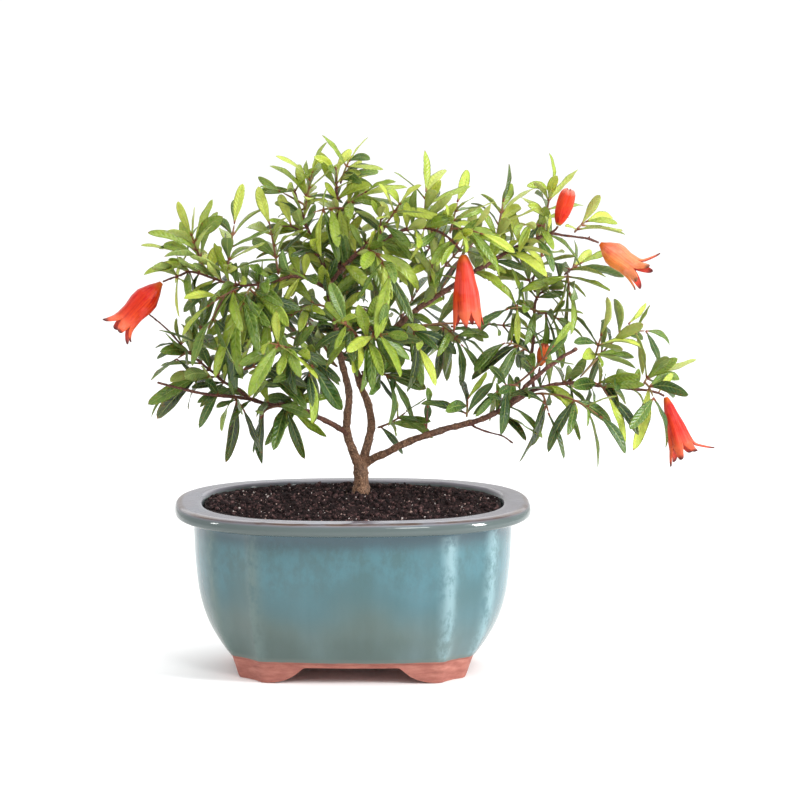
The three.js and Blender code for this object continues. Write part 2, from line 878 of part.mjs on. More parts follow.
// Room in the underside of the soil for the drainage screen.
function screenRecess() {
  const height = SCREEN.thickness + 3 * GAP;
  const recess = new THREE.BoxGeometry(SCREEN.width + 1, SCREEN.depth + 1, 2 * height);
  recess.translate(0, 0, POT.floorTop + GAP);
  return solid(recess);
}

// ------------------------------------------------------------------ the wood

function curveOf(branch) {
  return new THREE.CatmullRomCurve3(branch.points.map(vector), false, "catmullrom", 0.5);
}

function buildWood() {
  const tubes = Object.entries(BRANCHES).map(([name, branch]) => {
    const sides = name.endsWith("Limb") || name === "trunk" ? WOOD_SIDES.limb : WOOD_SIDES.twig;
    return tube(curveOf(branch), branch.points.length - 1, branch.radii, sides);
  });
  return joined(tubes);
}

// ---------------------------------------------------------------- the leaves

const DRAW = { factor: 1664525, step: 1013904223, range: 4294967296 };
let drawState = LEAF.seed;

function draw() {
  drawState = (drawState * DRAW.factor + DRAW.step) % DRAW.range;
  return drawState / DRAW.range;
}

function drawFrom(seed) {
  drawState = LEAF.seed + seed * LEAF.seedStep;
  draw();
}

// Half-width of a blade at a share of its length.
function bladeWidth(leaf, share) {
  const swell = Math.sin(Math.PI * Math.min(1, 0.06 + 0.94 * share ** 0.9)) ** 0.7;
  return leaf.halfWidth * swell;
}

function bladeSpine(leaf, share) {
  const fall = leaf.droop * leaf.length * 0.5 * share * share;
  return leaf.base.clone().addScaledVector(leaf.aim, leaf.length * share).addScaledVector(UP, -fall);
}

function bladeFrame(leaf, share) {
  const axis = leaf.aim.clone().addScaledVector(UP, -leaf.droop * share).normalize();
  const face = leaf.face.clone().addScaledVector(axis, -leaf.face.dot(axis)).normalize();
  return { across: new THREE.Vector3().crossVectors(face, axis), face };
}

// A point of the blade: share of its length, and -1 to 1 across it.
function bladePoint(leaf, share, side) {
  const { across, face } = bladeFrame(leaf, share);
  const width = bladeWidth(leaf, share);
  return bladeSpine(leaf, share)
    .addScaledVector(across, side * width)
    .addScaledVector(face, Math.abs(side) * width * LEAF.channel);
}

function bladeRing(leaf, share) {
  const { face } = bladeFrame(leaf, share);
  const centre = bladeSpine(leaf, share);
  return [
    bladePoint(leaf, share, 1),
    centre.clone().addScaledVector(face, LEAF.thickness / 2),
    bladePoint(leaf, share, -1),
    centre.clone().addScaledVector(face, -LEAF.thickness / 2),
  ];
}

function mixed(a, shareA, b, shareB) {
  return a.clone().multiplyScalar(shareA).addScaledVector(b, shareB);
}

// The way a blade points and faces, from the stem's direction at its root.
function aimLeaf(base, axis, turn, spread, length, droop, roll) {
  const frame = frameOf(axis);
  const out = mixed(frame.across, Math.cos(turn), frame.up, Math.sin(turn));
  const aim = mixed(axis, Math.cos(spread), out, Math.sin(spread)).normalize();
  const outward = base.clone().sub(CROWN.heart).multiply(CROWN.facing).normalize();
  const face = mixed(axis, LEAF.facing.axis, outward, LEAF.facing.outward);
  face.addScaledVector(UP, LEAF.facing.up);
  face.addScaledVector(aim, -face.dot(aim)).normalize();
  face.applyAxisAngle(aim, roll);
  return { base, aim, face, length, droop, halfWidth: length * LEAF.widthShare };
}

const SAMPLE_SHARES = [0.16, 0.3, 0.4, 0.5, 0.6, 0.7, 0.8, 0.9, 1];
const SAMPLE_SIDES = [-1, -0.35, 0.35, 1];

function samplesOf(leaf) {
  return SAMPLE_SHARES.flatMap((share) =>
    SAMPLE_SIDES.map((side) => ({ p: bladePoint(leaf, share, side), isRoot: share < 0.2 })),
  );
}

// Other ways to set a leaf when its first place is taken: turn, spread, size.
const TRIES = [
  [0, 0, 1], [0.5, 0, 1], [-0.5, 0, 1], [0, 0.35, 1], [0, -0.35, 1], [1, 0.1, 1], [-1, 0.1, 1],
  [0.5, 0.4, 0.9], [-0.5, 0.4, 0.9], [1.6, 0, 0.9], [-1.6, 0, 0.9], [0, 0, 0.75], [0.8, -0.3, 0.75],
  [-0.8, -0.3, 0.75], [0, 0.6, 0.75], [2.4, 0.2, 0.8],
];

const taken = []; // point, reach and owner of everything that blades keep clear of

function takeWood() {
  Object.values(BRANCHES).forEach((branch) => {
    const curve = curveOf(branch);
    const count = branch.points.length * LEAF.woodSamples;
    for (let k = 0; k <= count; k += 1) {
      const p = curve.getPoint(k / count);
      const radius = lerp(branch.radii[0], branch.radii[1], k / count);
      taken.push({ p, reach: radius + LEAF.woodClearance, owner: "wood" });
    }
  });
}

function takeFlowers() {
  [...FLOWERS, ...BUDS].forEach((flower) => {
    const base = vector(flower.base);
    const end = vector(flower.mouth ?? flower.tip);
    for (let k = 0; k <= FLOWER_ROOM.samples; k += 1) {
      const share = lerp(...FLOWER_ROOM.shares, k / FLOWER_ROOM.samples);
      const reach = flower.radius * lerp(...FLOWER_ROOM.swell, share) + LEAF.woodClearance;
      taken.push({ p: base.clone().lerp(end, share), reach, owner: "flower" });
    }
  });
}

// Blades of one shoot may come closer to each other, and meet at their roots.
function isFree(samples, owner) {
  return taken.every((item) => {
    const kin = item.owner === owner;
    const reach = kin ? item.reach * LEAF.kinShare : item.reach;
    return samples.every((sample) => {
      const excused = kin && (item.isRoot || sample.isRoot);
      return excused || sample.p.distanceToSquared(item.p) > reach * reach;
    });
  });
}

function stemCurve(start, one) {
  const tip = vector(one.tip);
  const middle = start.clone().lerp(tip, 0.5).addScaledVector(UP, one.bow);
  const control = middle.multiplyScalar(2).addScaledVector(start, -0.5).addScaledVector(tip, -0.5);
  return new THREE.QuadraticBezierCurve3(start, control, tip);
}

// Least share of a stem between two of its buds.
function budRoom(curve) {
  return STEM.budRoom / curve.v0.distanceTo(curve.v2);
}

// Share of a side stem at which its first ring stands clear of the main stem.
function forkShare(main, from, curve) {
  const angle = main.getTangent(from).angleTo(curve.getTangent(0));
  const reach = (STEM.rootRadius * (1 + Math.abs(Math.cos(angle))) + GAP) / Math.sin(angle);
  return reach / curve.v0.distanceTo(curve.v2);
}

// Stems of every shoot, laid out before any leaf so that leaves can avoid them.
function layStems() {
  return SHOOTS.map((shoot) => {
    const branch = BRANCHES[shoot.on];
    const root = curveOf(branch).getPoint(shoot.at / (branch.points.length - 1));
    const main = stemCurve(root, shoot.stems[0]);
    const laid = [{ curve: main, start: clearShare(main) }];
    shoot.stems.slice(1).forEach((one) => {
      const from = Math.max(one.from, (laid.at(-1).from ?? laid[0].start) + budRoom(main));
      const curve = stemCurve(main.getPoint(from), one);
      laid.push({ curve, start: forkShare(main, from, curve), from });
    });
    laid.forEach(({ curve }) => {
      for (let k = 1; k <= STEM.samples; k += 1) {
        const p = curve.getPoint(k / STEM.samples);
        taken.push({ p, reach: STEM.clearance, owner: `stem_${shoot.name}` });
      }
    });
    return { ...shoot, laid };
  });
}

function distanceToSegment(p, a, b) {
  const run = b.clone().sub(a);
  const share = Math.min(1, Math.max(0, p.clone().sub(a).dot(run) / run.lengthSq()));
  return p.distanceTo(a.clone().addScaledVector(run, share));
}

// Room between a point and the bark of the nearest branch.
function roomToWood(p) {
  let room = Infinity;
  Object.values(BRANCHES).forEach((branch) => {
    const knots = branch.points.map(vector);
    for (let k = 0; k + 1 < knots.length; k += 1) {
      const radius = lerp(...branch.radii, k / (knots.length - 1));
      room = Math.min(room, distanceToSegment(p, knots[k], knots[k + 1]) - radius);
    }
  });
  return room;
}

// Share of a stem's curve at which it stands clear of the bark.
function clearShare(curve) {
  let share = 0;
  while (roomToWood(curve.getPoint(share)) < STEM.rootRadius + GAP) {
    share += 0.005;
  }
  return share;
}

// The face of a four-sided stem that looks a given way round its axis.
function sideOf(turn) {
  return Math.round(turn / (Math.PI / 2) + 2 * STEM.sides) % STEM.sides;
}

// A leaf pair's share, moved up the stem until it is clear of the side stems.
function shareBeside(wanted, curve, start, sideShares) {
  const room = budRoom(curve);
  let share = wanted;
  while (sideShares.some((side) => Math.abs(side - share) < room)) {
    share += room / 4;
  }
  return Math.max(share, start + room / 2);
}

// Where the leaves of a stem sit: one at the tip, then pairs back from it, each
// pair turned a quarter from the last. A leaf that finds no free place is left out.
function setLeaves(shoot, one, { curve, start }, sideShares) {
  const span = curve.v0.distanceTo(curve.v2);
  const room = (1 - start) * span - STEM.budRoom;
  const pairs = Math.min(Math.ceil((one.leaves - 1) / 2), Math.floor(room / LEAF.leastSpacing));
  const step = Math.min(LEAF.pairSpacing, room / Math.max(1, pairs)) / span;
  const leaves = [];
  for (let n = 0; n < Math.min(one.leaves, 2 * pairs + 1); n += 1) {
    const pair = Math.ceil(n / 2);
    const share = shareBeside(1 - pair * step, curve, start, sideShares);
    const turnJitter = (draw() - 0.5) * LEAF.jitter.turn;
    const spreadJitter = (draw() - 0.5) * LEAF.jitter.spread;
    const sizeJitter = LEAF.jitter.sizeLeast + draw() * LEAF.jitter.size;
    const roll = (draw() - 0.5) * LEAF.jitter.roll;
    const base = curve.getPoint(share);
    const axis = curve.getTangent(share);
    const turn = ((pair % 2) + 2 * (n % 2)) * (Math.PI / 2) + turnJitter;
    const isTip = n === 0;
    const spread = isTip ? LEAF.tipSpread : LEAF.spread + LEAF.spreadStep * pair;
    const leastSpread = isTip ? 0 : LEAF.leastSpread;
    const young = isTip ? LEAF.youngShare : 1;
    for (const [moreTurn, moreSpread, size] of TRIES) {
      const length = one.length * sizeJitter * size * young;
      const opened = Math.max(leastSpread, spread + spreadJitter + moreSpread);
      const leaf = aimLeaf(base, axis, turn + moreTurn, opened, length, one.droop, roll);
      const samples = samplesOf(leaf);
      const side = sideOf(turn + moreTurn);
      const faceTaken = leaves.some((other) => other.pair === pair && other.side === side);
      if (!faceTaken && isFree(samples, shoot.name)) {
        samples.forEach((sample) => taken.push({ ...sample, reach: LEAF.clearance, owner: shoot.name }));
        leaves.push({ ...leaf, share, side, pair });
        break;
      }
    }
  }
  return leaves;
}

// A growing surface of points and triangles, closed when the last bud is closed.
function newSurface() {
  return { points: [], index: [] };
}

function addRing(surface, ring) {
  const start = surface.points.length;
  surface.points.push(...ring);
  return ring.map((_, j) => start + j);
}

function addQuad(surface, a, b, c, d, mirrored) {
  if (mirrored) {
    surface.index.push(a, b, d, b, c, d);
  } else {
    surface.index.push(a, b, c, a, c, d);
  }
}

// Turns a ring so that its first point is the best match for the open edge.
function matched(surface, edge, ring) {
  const turned = (shift) => ring.map((_, j) => ring[(j + shift) % ring.length]);
  const cost = (shift) => {
    const gaps = turned(shift).map((p, j) => p.distanceToSquared(surface.points[edge[j]]));
    return gaps.reduce((sum, gap) => sum + gap);
  };
  const shift = ring.map((_, j) => j).reduce((a, b) => (cost(b) < cost(a) ? b : a));
  return { ring: turned(shift), shift };
}

function bridge(surface, edge, next, parity, isOpen = () => false) {
  for (let j = 0; j < edge.length; j += 1) {
    const k = (j + 1) % edge.length;
    if (!isOpen(j)) {
      addQuad(surface, edge[j], edge[k], next[k], next[j], (j + parity) % 2 === 1);
    }
  }
}

// A blade drawn out of an open edge of four points.
function growBlade(surface, edge, leaf) {
  const first = matched(surface, edge, bladeRing(leaf, LEAF.stations[0]));
  let last = addRing(surface, first.ring);
  bridge(surface, edge, last, first.shift);
  LEAF.stations.slice(1).forEach((share) => {
    const ring = bladeRing(leaf, share);
    const turned = ring.map((_, j) => ring[(j + first.shift) % ring.length]);
    const next = addRing(surface, turned);
    bridge(surface, last, next, first.shift);
    last = next;
  });
  const [tip] = addRing(surface, [bladeSpine(leaf, 1)]);
  last.forEach((id, j) => surface.index.push(id, last[(j + 1) % last.length], tip));
}

function stemRing(curve, share, radius) {
  const frame = frameOf(curve.getTangent(share));
  return ringAt(curve.getPoint(share), frame, radius, STEM.sides, -Math.PI / STEM.sides);
}

// One young stem, grown from an open edge or from a cut end of its own. Buds are
// the places along it where a face is left open for a leaf or a side stem.
function growStem(surface, edge, { curve, start }, buds, tipLeaf) {
  const span = curve.v0.distanceTo(curve.v2);
  const half = STEM.nodeHalf / span;
  const radiusAt = (share) => lerp(STEM.rootRadius, STEM.tipRadius, share);
  const firstRing = stemRing(curve, start, radiusAt(start));
  let last = addRing(surface, firstRing);
  let at = start;
  if (edge) {
    const { shift } = matched(surface, edge, firstRing);
    bridge(surface, edge, last.map((_, j) => last[(j + shift) % last.length]), 0);
  } else {
    surface.index.push(last[0], last[2], last[1], last[0], last[3], last[2]);
  }
  const extend = (share, isOpen) => {
    const next = addRing(surface, stemRing(curve, share, radiusAt(share)));
    bridge(surface, last, next, 0, isOpen);
    const previous = last;
    last = next;
    at = share;
    return previous;
  };
  [...buds]
    .sort((a, b) => a.share - b.share)
    .forEach((bud) => {
      const from = at;
      const to = bud.share - half;
      const pieces = Math.ceil(((to - from) * span) / STEM.longestStep);
      for (let k = 1; k <= pieces; k += 1) {
        extend(lerp(from, to, k / pieces));
      }
      const faces = bud.growths.map((growth) => growth.side);
      const below = extend(bud.share + half, (j) => faces.includes(j));
      const above = last;
      bud.growths.forEach((growth) => {
        const j = growth.side;
        const k = (j + 1) % STEM.sides;
        growth.grow([below[j], below[k], above[k], above[j]]);
      });
    });
  extend(1);
  if (tipLeaf) {
    growBlade(surface, last, tipLeaf);
  } else {
    surface.index.push(last[0], last[1], last[2], last[0], last[2], last[3]);
  }
}

// Leaves of one pair share a bud; a side stem has a bud of its own.
function budsOf(surface, leaves) {
  const buds = [];
  leaves
    .filter((leaf) => leaf.pair > 0)
    .forEach((leaf) => {
      let bud = buds.find((other) => other.pair === leaf.pair);
      if (!bud) {
        bud = { share: leaf.share, pair: leaf.pair, growths: [] };
        buds.push(bud);
      }
      bud.growths.push({ side: leaf.side, grow: (edge) => growBlade(surface, edge, leaf) });
    });
  return buds;
}

function sideFacing(curve, share, direction) {
  const frame = frameOf(curve.getTangent(share));
  return sideOf(Math.atan2(direction.dot(frame.up), direction.dot(frame.across)));
}

function buildShoot(shoot) {
  drawFrom(shoot.seed);
  const surface = newSurface();
  const [main, ...sides] = shoot.laid;
  const sideShares = sides.map((side) => side.from);
  const mainLeaves = setLeaves(shoot, shoot.stems[0], main, sideShares);
  const buds = budsOf(surface, mainLeaves);
  sides.forEach((side, k) => {
    const leaves = setLeaves(shoot, shoot.stems[k + 1], side, []);
    const facing = sideFacing(main.curve, side.from, side.curve.getTangent(0));
    const tipLeaf = leaves.find((leaf) => leaf.pair === 0);
    const sideBuds = budsOf(surface, leaves);
    const grow = (edge) => growStem(surface, edge, side, sideBuds, tipLeaf);
    buds.push({ share: side.from, growths: [{ side: facing, grow }] });
  });
  const tipLeaf = mainLeaves.find((leaf) => leaf.pair === 0);
  growStem(surface, null, main, buds, tipLeaf);
  return solidOf(surface);
}

// --------------------------------------------------------------- the flowers

function alongFlower(flower, end) {
  const base = vector(flower.base);
  const axis = vector(end).sub(base);
  const length = axis.length();
  axis.normalize();
  return { base, axis, length, frame: frameOf(axis, new THREE.Vector3(0.2, 0.9, 0.3)) };
}

// A crown of pointed lobes: odd points of the ring reach out as the lobe tips.
function lobeRing(place, flower, inset) {
  const ring = [];
  for (let j = 0; j < CALYX.sides; j += 1) {
    const isTip = j % 2 === 1;
    const reach = isTip ? place.length + flower.lobe - inset * 2.2 : place.length;
    const radius = (isTip ? flower.radius * CALYX.flare : flower.radius) - inset;
    const angle = (j / CALYX.sides) * 2 * Math.PI;
    ring.push(
      place.base
        .clone()
        .addScaledVector(place.axis, reach)
        .addScaledVector(place.frame.across, Math.cos(angle) * radius)
        .addScaledVector(place.frame.up, Math.sin(angle) * radius),
    );
  }
  return ring;
}

function sectionRings(place, section, radius) {
  return section.map(([share, size]) => {
    const centre = place.base.clone().addScaledVector(place.axis, place.length * share);
    return ringAt(centre, place.frame, radius * size, CALYX.sides);
  });
}

function buildCalyx(flower) {
  const place = alongFlower(flower, flower.mouth);
  const outside = sectionRings(place, CALYX.outside, flower.radius);
  const inside = sectionRings(place, CALYX.cup, flower.radius);
  const cupFloor = place.base.clone().addScaledVector(place.axis, place.length * CALYX.cup.at(-1)[0]);
  return skin([
    [place.base],
    ...outside,
    lobeRing(place, flower, 0),
    lobeRing(place, flower, CALYX.wall),
    ...inside,
    [cupFloor],
  ]);
}

// The petals stand crumpled together in the calyx cup: a pleated crown whose
// folds rise between the lobes, hollow in the middle where the stamens sit.
function buildPetals(flower) {
  const place = alongFlower(flower, flower.mouth);
  const floor = place.length * CALYX.cup.at(-1)[0] + GAP;
  const ring = (reach, radius, zigzag) => {
    const points = ringAt(place.base, place.frame, 1, CALYX.sides);
    return points.map((p, j) => {
      const out = p.sub(place.base);
      const fold = j % 2 === 0 ? zigzag : -zigzag;
      return place.base
        .clone()
        .addScaledVector(place.axis, reach + fold)
        .addScaledVector(out, radius + fold * 0.3);
    });
  };
  const mouth = flower.radius - PETALS.inset;
  return skin([
    ring(floor, flower.radius * PETALS.foot, 0),
    ring(place.length * 0.9, mouth * 0.86, 0),
    ring(place.length + PETALS.rise, mouth, PETALS.fold),
    ring(place.length + PETALS.rise - 0.6, mouth - 1.6, PETALS.fold),
    ring(place.length * 0.9, mouth * 0.5, 0),
  ]);
}

function buildBud(bud) {
  const place = alongFlower(bud, bud.tip);
  return skin([[place.base], ...sectionRings(place, BUD_SECTION, bud.radius), [vector(bud.tip)]]);
}

// --------------------------------------------------------------- the assembly

function material(color, roughness) {
  return new THREE.MeshStandardMaterial({ color, roughness, metalness: 0 });
}

const MATERIALS = {
  glaze: material(0x6f9a9f, 0.25),
  soil: material(0x2c1f1b, 1),
  screen: material(0x2b2b2b, 0.7),
  bark: material(0x7a5a48, 0.8),
  leaf: material(0x5f8a2f, 0.45),
  calyx: material(0xe8442c, 0.45),
  petal: material(0xcf2f28, 0.6),
};

const bonsai = new THREE.Group();
bonsai.name = "pomegranate_bonsai";

function place(name, body, finish) {
  const mesh = new THREE.Mesh(geometryOf(body), finish);
  mesh.name = name;
  bonsai.add(mesh);
}

place("pot", buildPot(), MATERIALS.glaze);
place("drain_screen", buildScreen(), MATERIALS.screen);
place("soil", buildSoil().subtract(holeForTrunk()).subtract(screenRecess()), MATERIALS.soil);

place("wood", buildWood(), MATERIALS.bark);

FLOWERS.forEach((flower) => {
  place(`flower_${flower.name}`, buildCalyx(flower), MATERIALS.calyx);
  place(`petals_${flower.name}`, buildPetals(flower), MATERIALS.petal);
});
BUDS.forEach((bud) => place(`bud_${bud.name}`, buildBud(bud), MATERIALS.calyx));

takeWood();
takeFlowers();
layStems().forEach((shoot) => {
  place(`shoot_${shoot.name}`, buildShoot(shoot), MATERIALS.leaf);
});

// The whole part is centred over its bounding box, so its origin is the middle
// of the surface that it stands on.
const box = new THREE.Box3().setFromObject(bonsai);
bonsai.position.set(-(box.min.x + box.max.x) / 2, -(box.min.y + box.max.y) / 2, 0);

export default bonsai;
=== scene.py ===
"""Looks of the pomegranate bonsai in its glazed pot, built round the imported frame."""

import math
import random
from itertools import combinations

import bmesh
import bpy
import numpy as np
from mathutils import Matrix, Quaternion, Vector, kdtree, noise


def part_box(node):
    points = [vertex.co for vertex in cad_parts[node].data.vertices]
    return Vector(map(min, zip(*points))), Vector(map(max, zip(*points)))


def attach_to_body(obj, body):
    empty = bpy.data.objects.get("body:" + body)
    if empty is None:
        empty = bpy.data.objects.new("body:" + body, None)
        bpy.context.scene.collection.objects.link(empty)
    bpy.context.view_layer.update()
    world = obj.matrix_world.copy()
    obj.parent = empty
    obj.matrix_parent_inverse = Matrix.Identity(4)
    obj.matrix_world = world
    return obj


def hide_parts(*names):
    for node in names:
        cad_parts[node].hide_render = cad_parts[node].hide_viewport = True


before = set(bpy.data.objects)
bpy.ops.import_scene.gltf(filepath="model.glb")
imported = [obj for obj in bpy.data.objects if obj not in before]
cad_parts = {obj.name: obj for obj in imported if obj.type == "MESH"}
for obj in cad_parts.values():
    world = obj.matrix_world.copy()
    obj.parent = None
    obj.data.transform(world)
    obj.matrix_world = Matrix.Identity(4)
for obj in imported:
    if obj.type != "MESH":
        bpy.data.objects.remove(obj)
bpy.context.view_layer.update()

MM = 0.001
UP = Vector((0, 0, 1))
POT_LOW, POT_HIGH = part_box("pot")
# The pot's centre on the ground. Sizes and places below are in millimetres from it.
CENTRE = Vector(((POT_LOW.x + POT_HIGH.x) / 2, (POT_LOW.y + POT_HIGH.y) / 2, 0))


def placed(points):
    """Millimetres from the pot's centre to metres in the frame."""
    return np.asarray(points, float) * MM + np.array(CENTRE)


def lerp(a, b, share):
    return a + (b - a) * share


def smooth_share(low, high, value):
    """0 below low, 1 above high, and a smooth rise between."""
    t = np.clip((value - low) / (high - low), 0, 1)
    return t * t * (3 - 2 * t)


# ------------------------------------------------------------ meshes and pieces


def mesh_object(name, points, faces, materials, face_materials=None):
    """A smooth-shaded mesh object from points in metres."""
    mesh = bpy.data.meshes.new(name)
    mesh.from_pydata([tuple(p) for p in points], [], faces)
    for material in materials:
        mesh.materials.append(material)
    if face_materials is not None:
        mesh.polygons.foreach_set("material_index", face_materials)
    mesh.polygons.foreach_set("use_smooth", [True] * len(mesh.polygons))
    face_outwards(mesh)
    piece = bpy.data.objects.new(name, mesh)
    bpy.context.scene.collection.objects.link(piece)
    return piece


def face_outwards(mesh):
    surface = bmesh.new()
    surface.from_mesh(mesh)
    bmesh.ops.recalc_face_normals(surface, faces=surface.faces)
    surface.to_mesh(mesh)
    surface.free()
    mesh.update()


def set_vectors(mesh, name, values):
    attribute = mesh.attributes.new(name, "FLOAT_VECTOR", "POINT")
    attribute.data.foreach_set("vector", np.asarray(values, np.float32).ravel())


def attach(piece, slot, *nodes):
    """Ties a piece to the one body and hides the nodes it stands for; slot is not used."""
    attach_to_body(piece, "root")
    if nodes:
        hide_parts(*nodes)
    return piece


def grid_faces(rows, columns, offset=0, closed=False, flip=False):
    """Quads of a grid of points stored row by row; closed joins the last column on."""
    faces = []
    for i in range(rows - 1):
        for j in range(columns if closed else columns - 1):
            k = (j + 1) % columns
            quad = [
                offset + i * columns + j,
                offset + i * columns + k,
                offset + (i + 1) * columns + k,
                offset + (i + 1) * columns + j,
            ]
            faces.append(quad[::-1] if flip else quad)
    return faces


def closed_tube(rows, columns, offset=0):
    """The quads of a closed grid, and flat ends."""
    first = range(offset, offset + columns)
    last = range(offset + (rows - 1) * columns, offset + rows * columns)
    return grid_faces(rows, columns, offset, closed=True) + [list(first)[::-1], list(last)]


def shifted(faces, offset):
    """The same faces for points that start at an offset."""
    return [[offset + k for k in face] for face in faces]


# ------------------------------------------------------------------ materials


def linear(color):
    """A colour given in parts of 255, as the linear colour that shaders take."""
    shares = [part / 255 for part in color]
    return (*(s / 12.92 if s < 0.04045 else ((s + 0.055) / 1.055) ** 2.4 for s in shares), 1)


class Shader:
    """A Principled material built up from short calls, with colours in parts of 255."""

    def __init__(self, name, **values):
        self.material = bpy.data.materials.new(name)
        self.material.use_nodes = True
        self.tree = self.material.node_tree
        self.bsdf = self.tree.nodes["Principled BSDF"]
        for key, value in values.items():
            self.bsdf.inputs[key.replace("_", " ")].default_value = value

    def add(self, kind, inputs=None, **settings):
        made = self.tree.nodes.new("ShaderNode" + kind)
        for key, value in settings.items():
            setattr(made, key, value)
        for key, value in (inputs or {}).items():
            self.put(made.inputs[key], value)
        return made

    def put(self, socket, value):
        if isinstance(value, bpy.types.NodeSocket):
            self.tree.links.new(value, socket)
        else:
            socket.default_value = value

    def set(self, name, value):
        self.put(self.bsdf.inputs[name], value)

    def math(self, operation, a, b, clamp=False):
        made = self.add("Math", {0: a, 1: b}, operation=operation, use_clamp=clamp)
        return made.outputs[0]

    def times(self, a, b):
        return self.math("MULTIPLY", a, b)

    def plus(self, a, b):
        return self.math("ADD", a, b)

    def span(self, value, low, high, to_low=0.0, to_high=1.0):
        inputs = {0: value, 1: low, 2: high, 3: to_low, 4: to_high}
        made = self.add("MapRange", inputs, interpolation_type="SMOOTHSTEP")
        return made.outputs[0]

    def place(self):
        return self.add("TexCoord").outputs["Object"]

    def scaled(self, vector, scale):
        made = self.add("Mapping", {"Vector": vector, "Scale": scale})
        return made.outputs[0]

    def noise(self, vector, scale, detail=4.0, roughness=0.55):
        inputs = {"Vector": vector, "Scale": scale, "Detail": detail, "Roughness": roughness}
        return self.add("TexNoise", inputs).outputs["Fac"]

    def cells(self, vector, scale):
        return self.add("TexVoronoi", {"Vector": vector, "Scale": scale}).outputs["Distance"]

    def attribute(self, name):
        made = self.add("Attribute", attribute_name=name)
        parts = self.add("SeparateXYZ", {0: made.outputs["Vector"]})
        return [parts.outputs[k] for k in range(3)]

    def ramp(self, value, stops):
        made = self.add("ValToRGB", {"Fac": value})
        elements = made.color_ramp.elements
        while len(elements) < len(stops):
            elements.new(0.5)
        for element, (position, color) in zip(elements, stops):
            element.position = position
            element.color = linear(color)
        return made.outputs["Color"]

    def mix(self, share, a, b):
        made = self.add("Mix", data_type="RGBA")
        self.put(made.inputs[0], share)
        for socket, color in ((made.inputs[6], a), (made.inputs[7], b)):
            self.put(socket, linear(color) if isinstance(color, tuple) else color)
        return made.outputs[2]

    def finish(self, color, height, distance, strength):
        """Sets the colour and a relief of a height in metres, and gives the material."""
        relief = self.add("Bump", {"Height": height, "Distance": distance, "Strength": strength})
        self.set("Base Color", color)
        self.set("Normal", relief.outputs["Normal"])
        return self.material


def leaf_material(name, greens, rib, gloss):
    """Green blade with midrib and side veins from its own share-across coordinates."""
    shader = Shader(name, Subsurface_Weight=0.06, Subsurface_Scale=0.002, IOR=1.45)
    across, along, _ = shader.attribute("blade")
    age, tint, _ = shader.attribute("growth")
    place = shader.place()
    reach = shader.math("ABSOLUTE", across, 0)
    blotch = shader.noise(place, 260, 3)
    share = shader.math("ADD", age, shader.span(blotch, 0.3, 0.7, -0.06, 0.06), True)
    color = shader.ramp(share, list(zip((0, 0.27, 0.5, 0.74, 1), greens)))
    color = shader.mix(shader.span(reach, 0.5, 1.0, 0, 0.2), color, greens[3])
    color = shader.mix(shader.span(along, 0.6, 1.0, 0, 0.15), color, greens[3])
    cool = shader.times(shader.span(tint, 0.6, 0.2), shader.span(share, 0.7, 0.35))
    color = shader.mix(shader.times(cool, 0.3), color, (40, 84, 44))
    slant = shader.math("SUBTRACT", shader.times(along, 62), shader.times(reach, 9))
    wave = shader.math("SINE", slant, 0)
    vein = shader.times(shader.span(wave, 0.75, 1.0), shader.span(reach, 0.95, 0.5))
    color = shader.mix(shader.times(vein, 0.16), color, rib)
    width = shader.span(along, 0.1, 1.0, 0.13, 0.045)
    midrib = shader.span(shader.math("DIVIDE", reach, width), 1.0, 0.4)
    color = shader.mix(shader.times(midrib, 0.6), color, rib)
    color = shader.mix(shader.span(along, 0.14, 0.04), color, (134, 70, 48))
    dry = shader.times(shader.span(along, 0.95, 1.0), shader.span(tint, 0.6, 0.95))
    color = shader.mix(dry, color, (128, 92, 48))
    shader.set("Roughness", shader.span(blotch, 0.3, 0.7, gloss, gloss + 0.14))
    height = shader.plus(shader.times(wave, 0.5), shader.noise(place, 900, 2))
    return shader.finish(color, height, 0.0003, 0.5)


def stem_material():
    shader = Shader("young stem", Roughness=0.5)
    place = shader.place()
    patch = shader.noise(place, 120, 4)
    color = shader.ramp(patch, [
        (0.3, (84, 50, 38)),
        (0.5, (122, 78, 48)),
        (0.68, (120, 112, 58)),
        (0.8, (112, 130, 62)),
    ])
    specks = shader.span(shader.cells(place, 1500), 0.12, 0.04)
    color = shader.mix(shader.times(specks, 0.6), color, (176, 150, 108))
    return shader.finish(color, shader.noise(place, 1800, 3), 0.0003, 0.6)


# ------------------------------------------------------------ leaves and shoots

LEAF = {
    "stations": 14,
    "across": [-1, -0.66, -0.16, 0, 0.16, 0.66, 1],
    "channel": 0.26,
    "slimness": 0.86,
    "rings": (0.27, 0.66),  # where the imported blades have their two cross-sections
    "petiole": 0.45,
    "companions": 0.55,
    "lowest": 131,  # millimetres up, below which no added leaf hangs
    "flower_room": 9,
}


def packed_width(share):
    """Half-width of a packed blade at a share of its length, against its widest."""
    return math.sin(math.pi * min(1, 0.06 + 0.94 * share**0.9)) ** 0.7


def section_of(ring):
    """Middle, face direction and half-width of a packed blade's cross-section."""
    pairs = [(a, b) for i, a in enumerate(ring) for b in ring[i + 1:]]
    thick = min(pairs, key=lambda pair: (pair[0].co - pair[1].co).length)
    edges = [v for v in ring if v not in thick]
    middle = (thick[0].co + thick[1].co) / 2
    face = (edges[0].co + edges[1].co) / 2 - middle
    return middle, face.normalized(), (edges[0].co - edges[1].co).length / 2


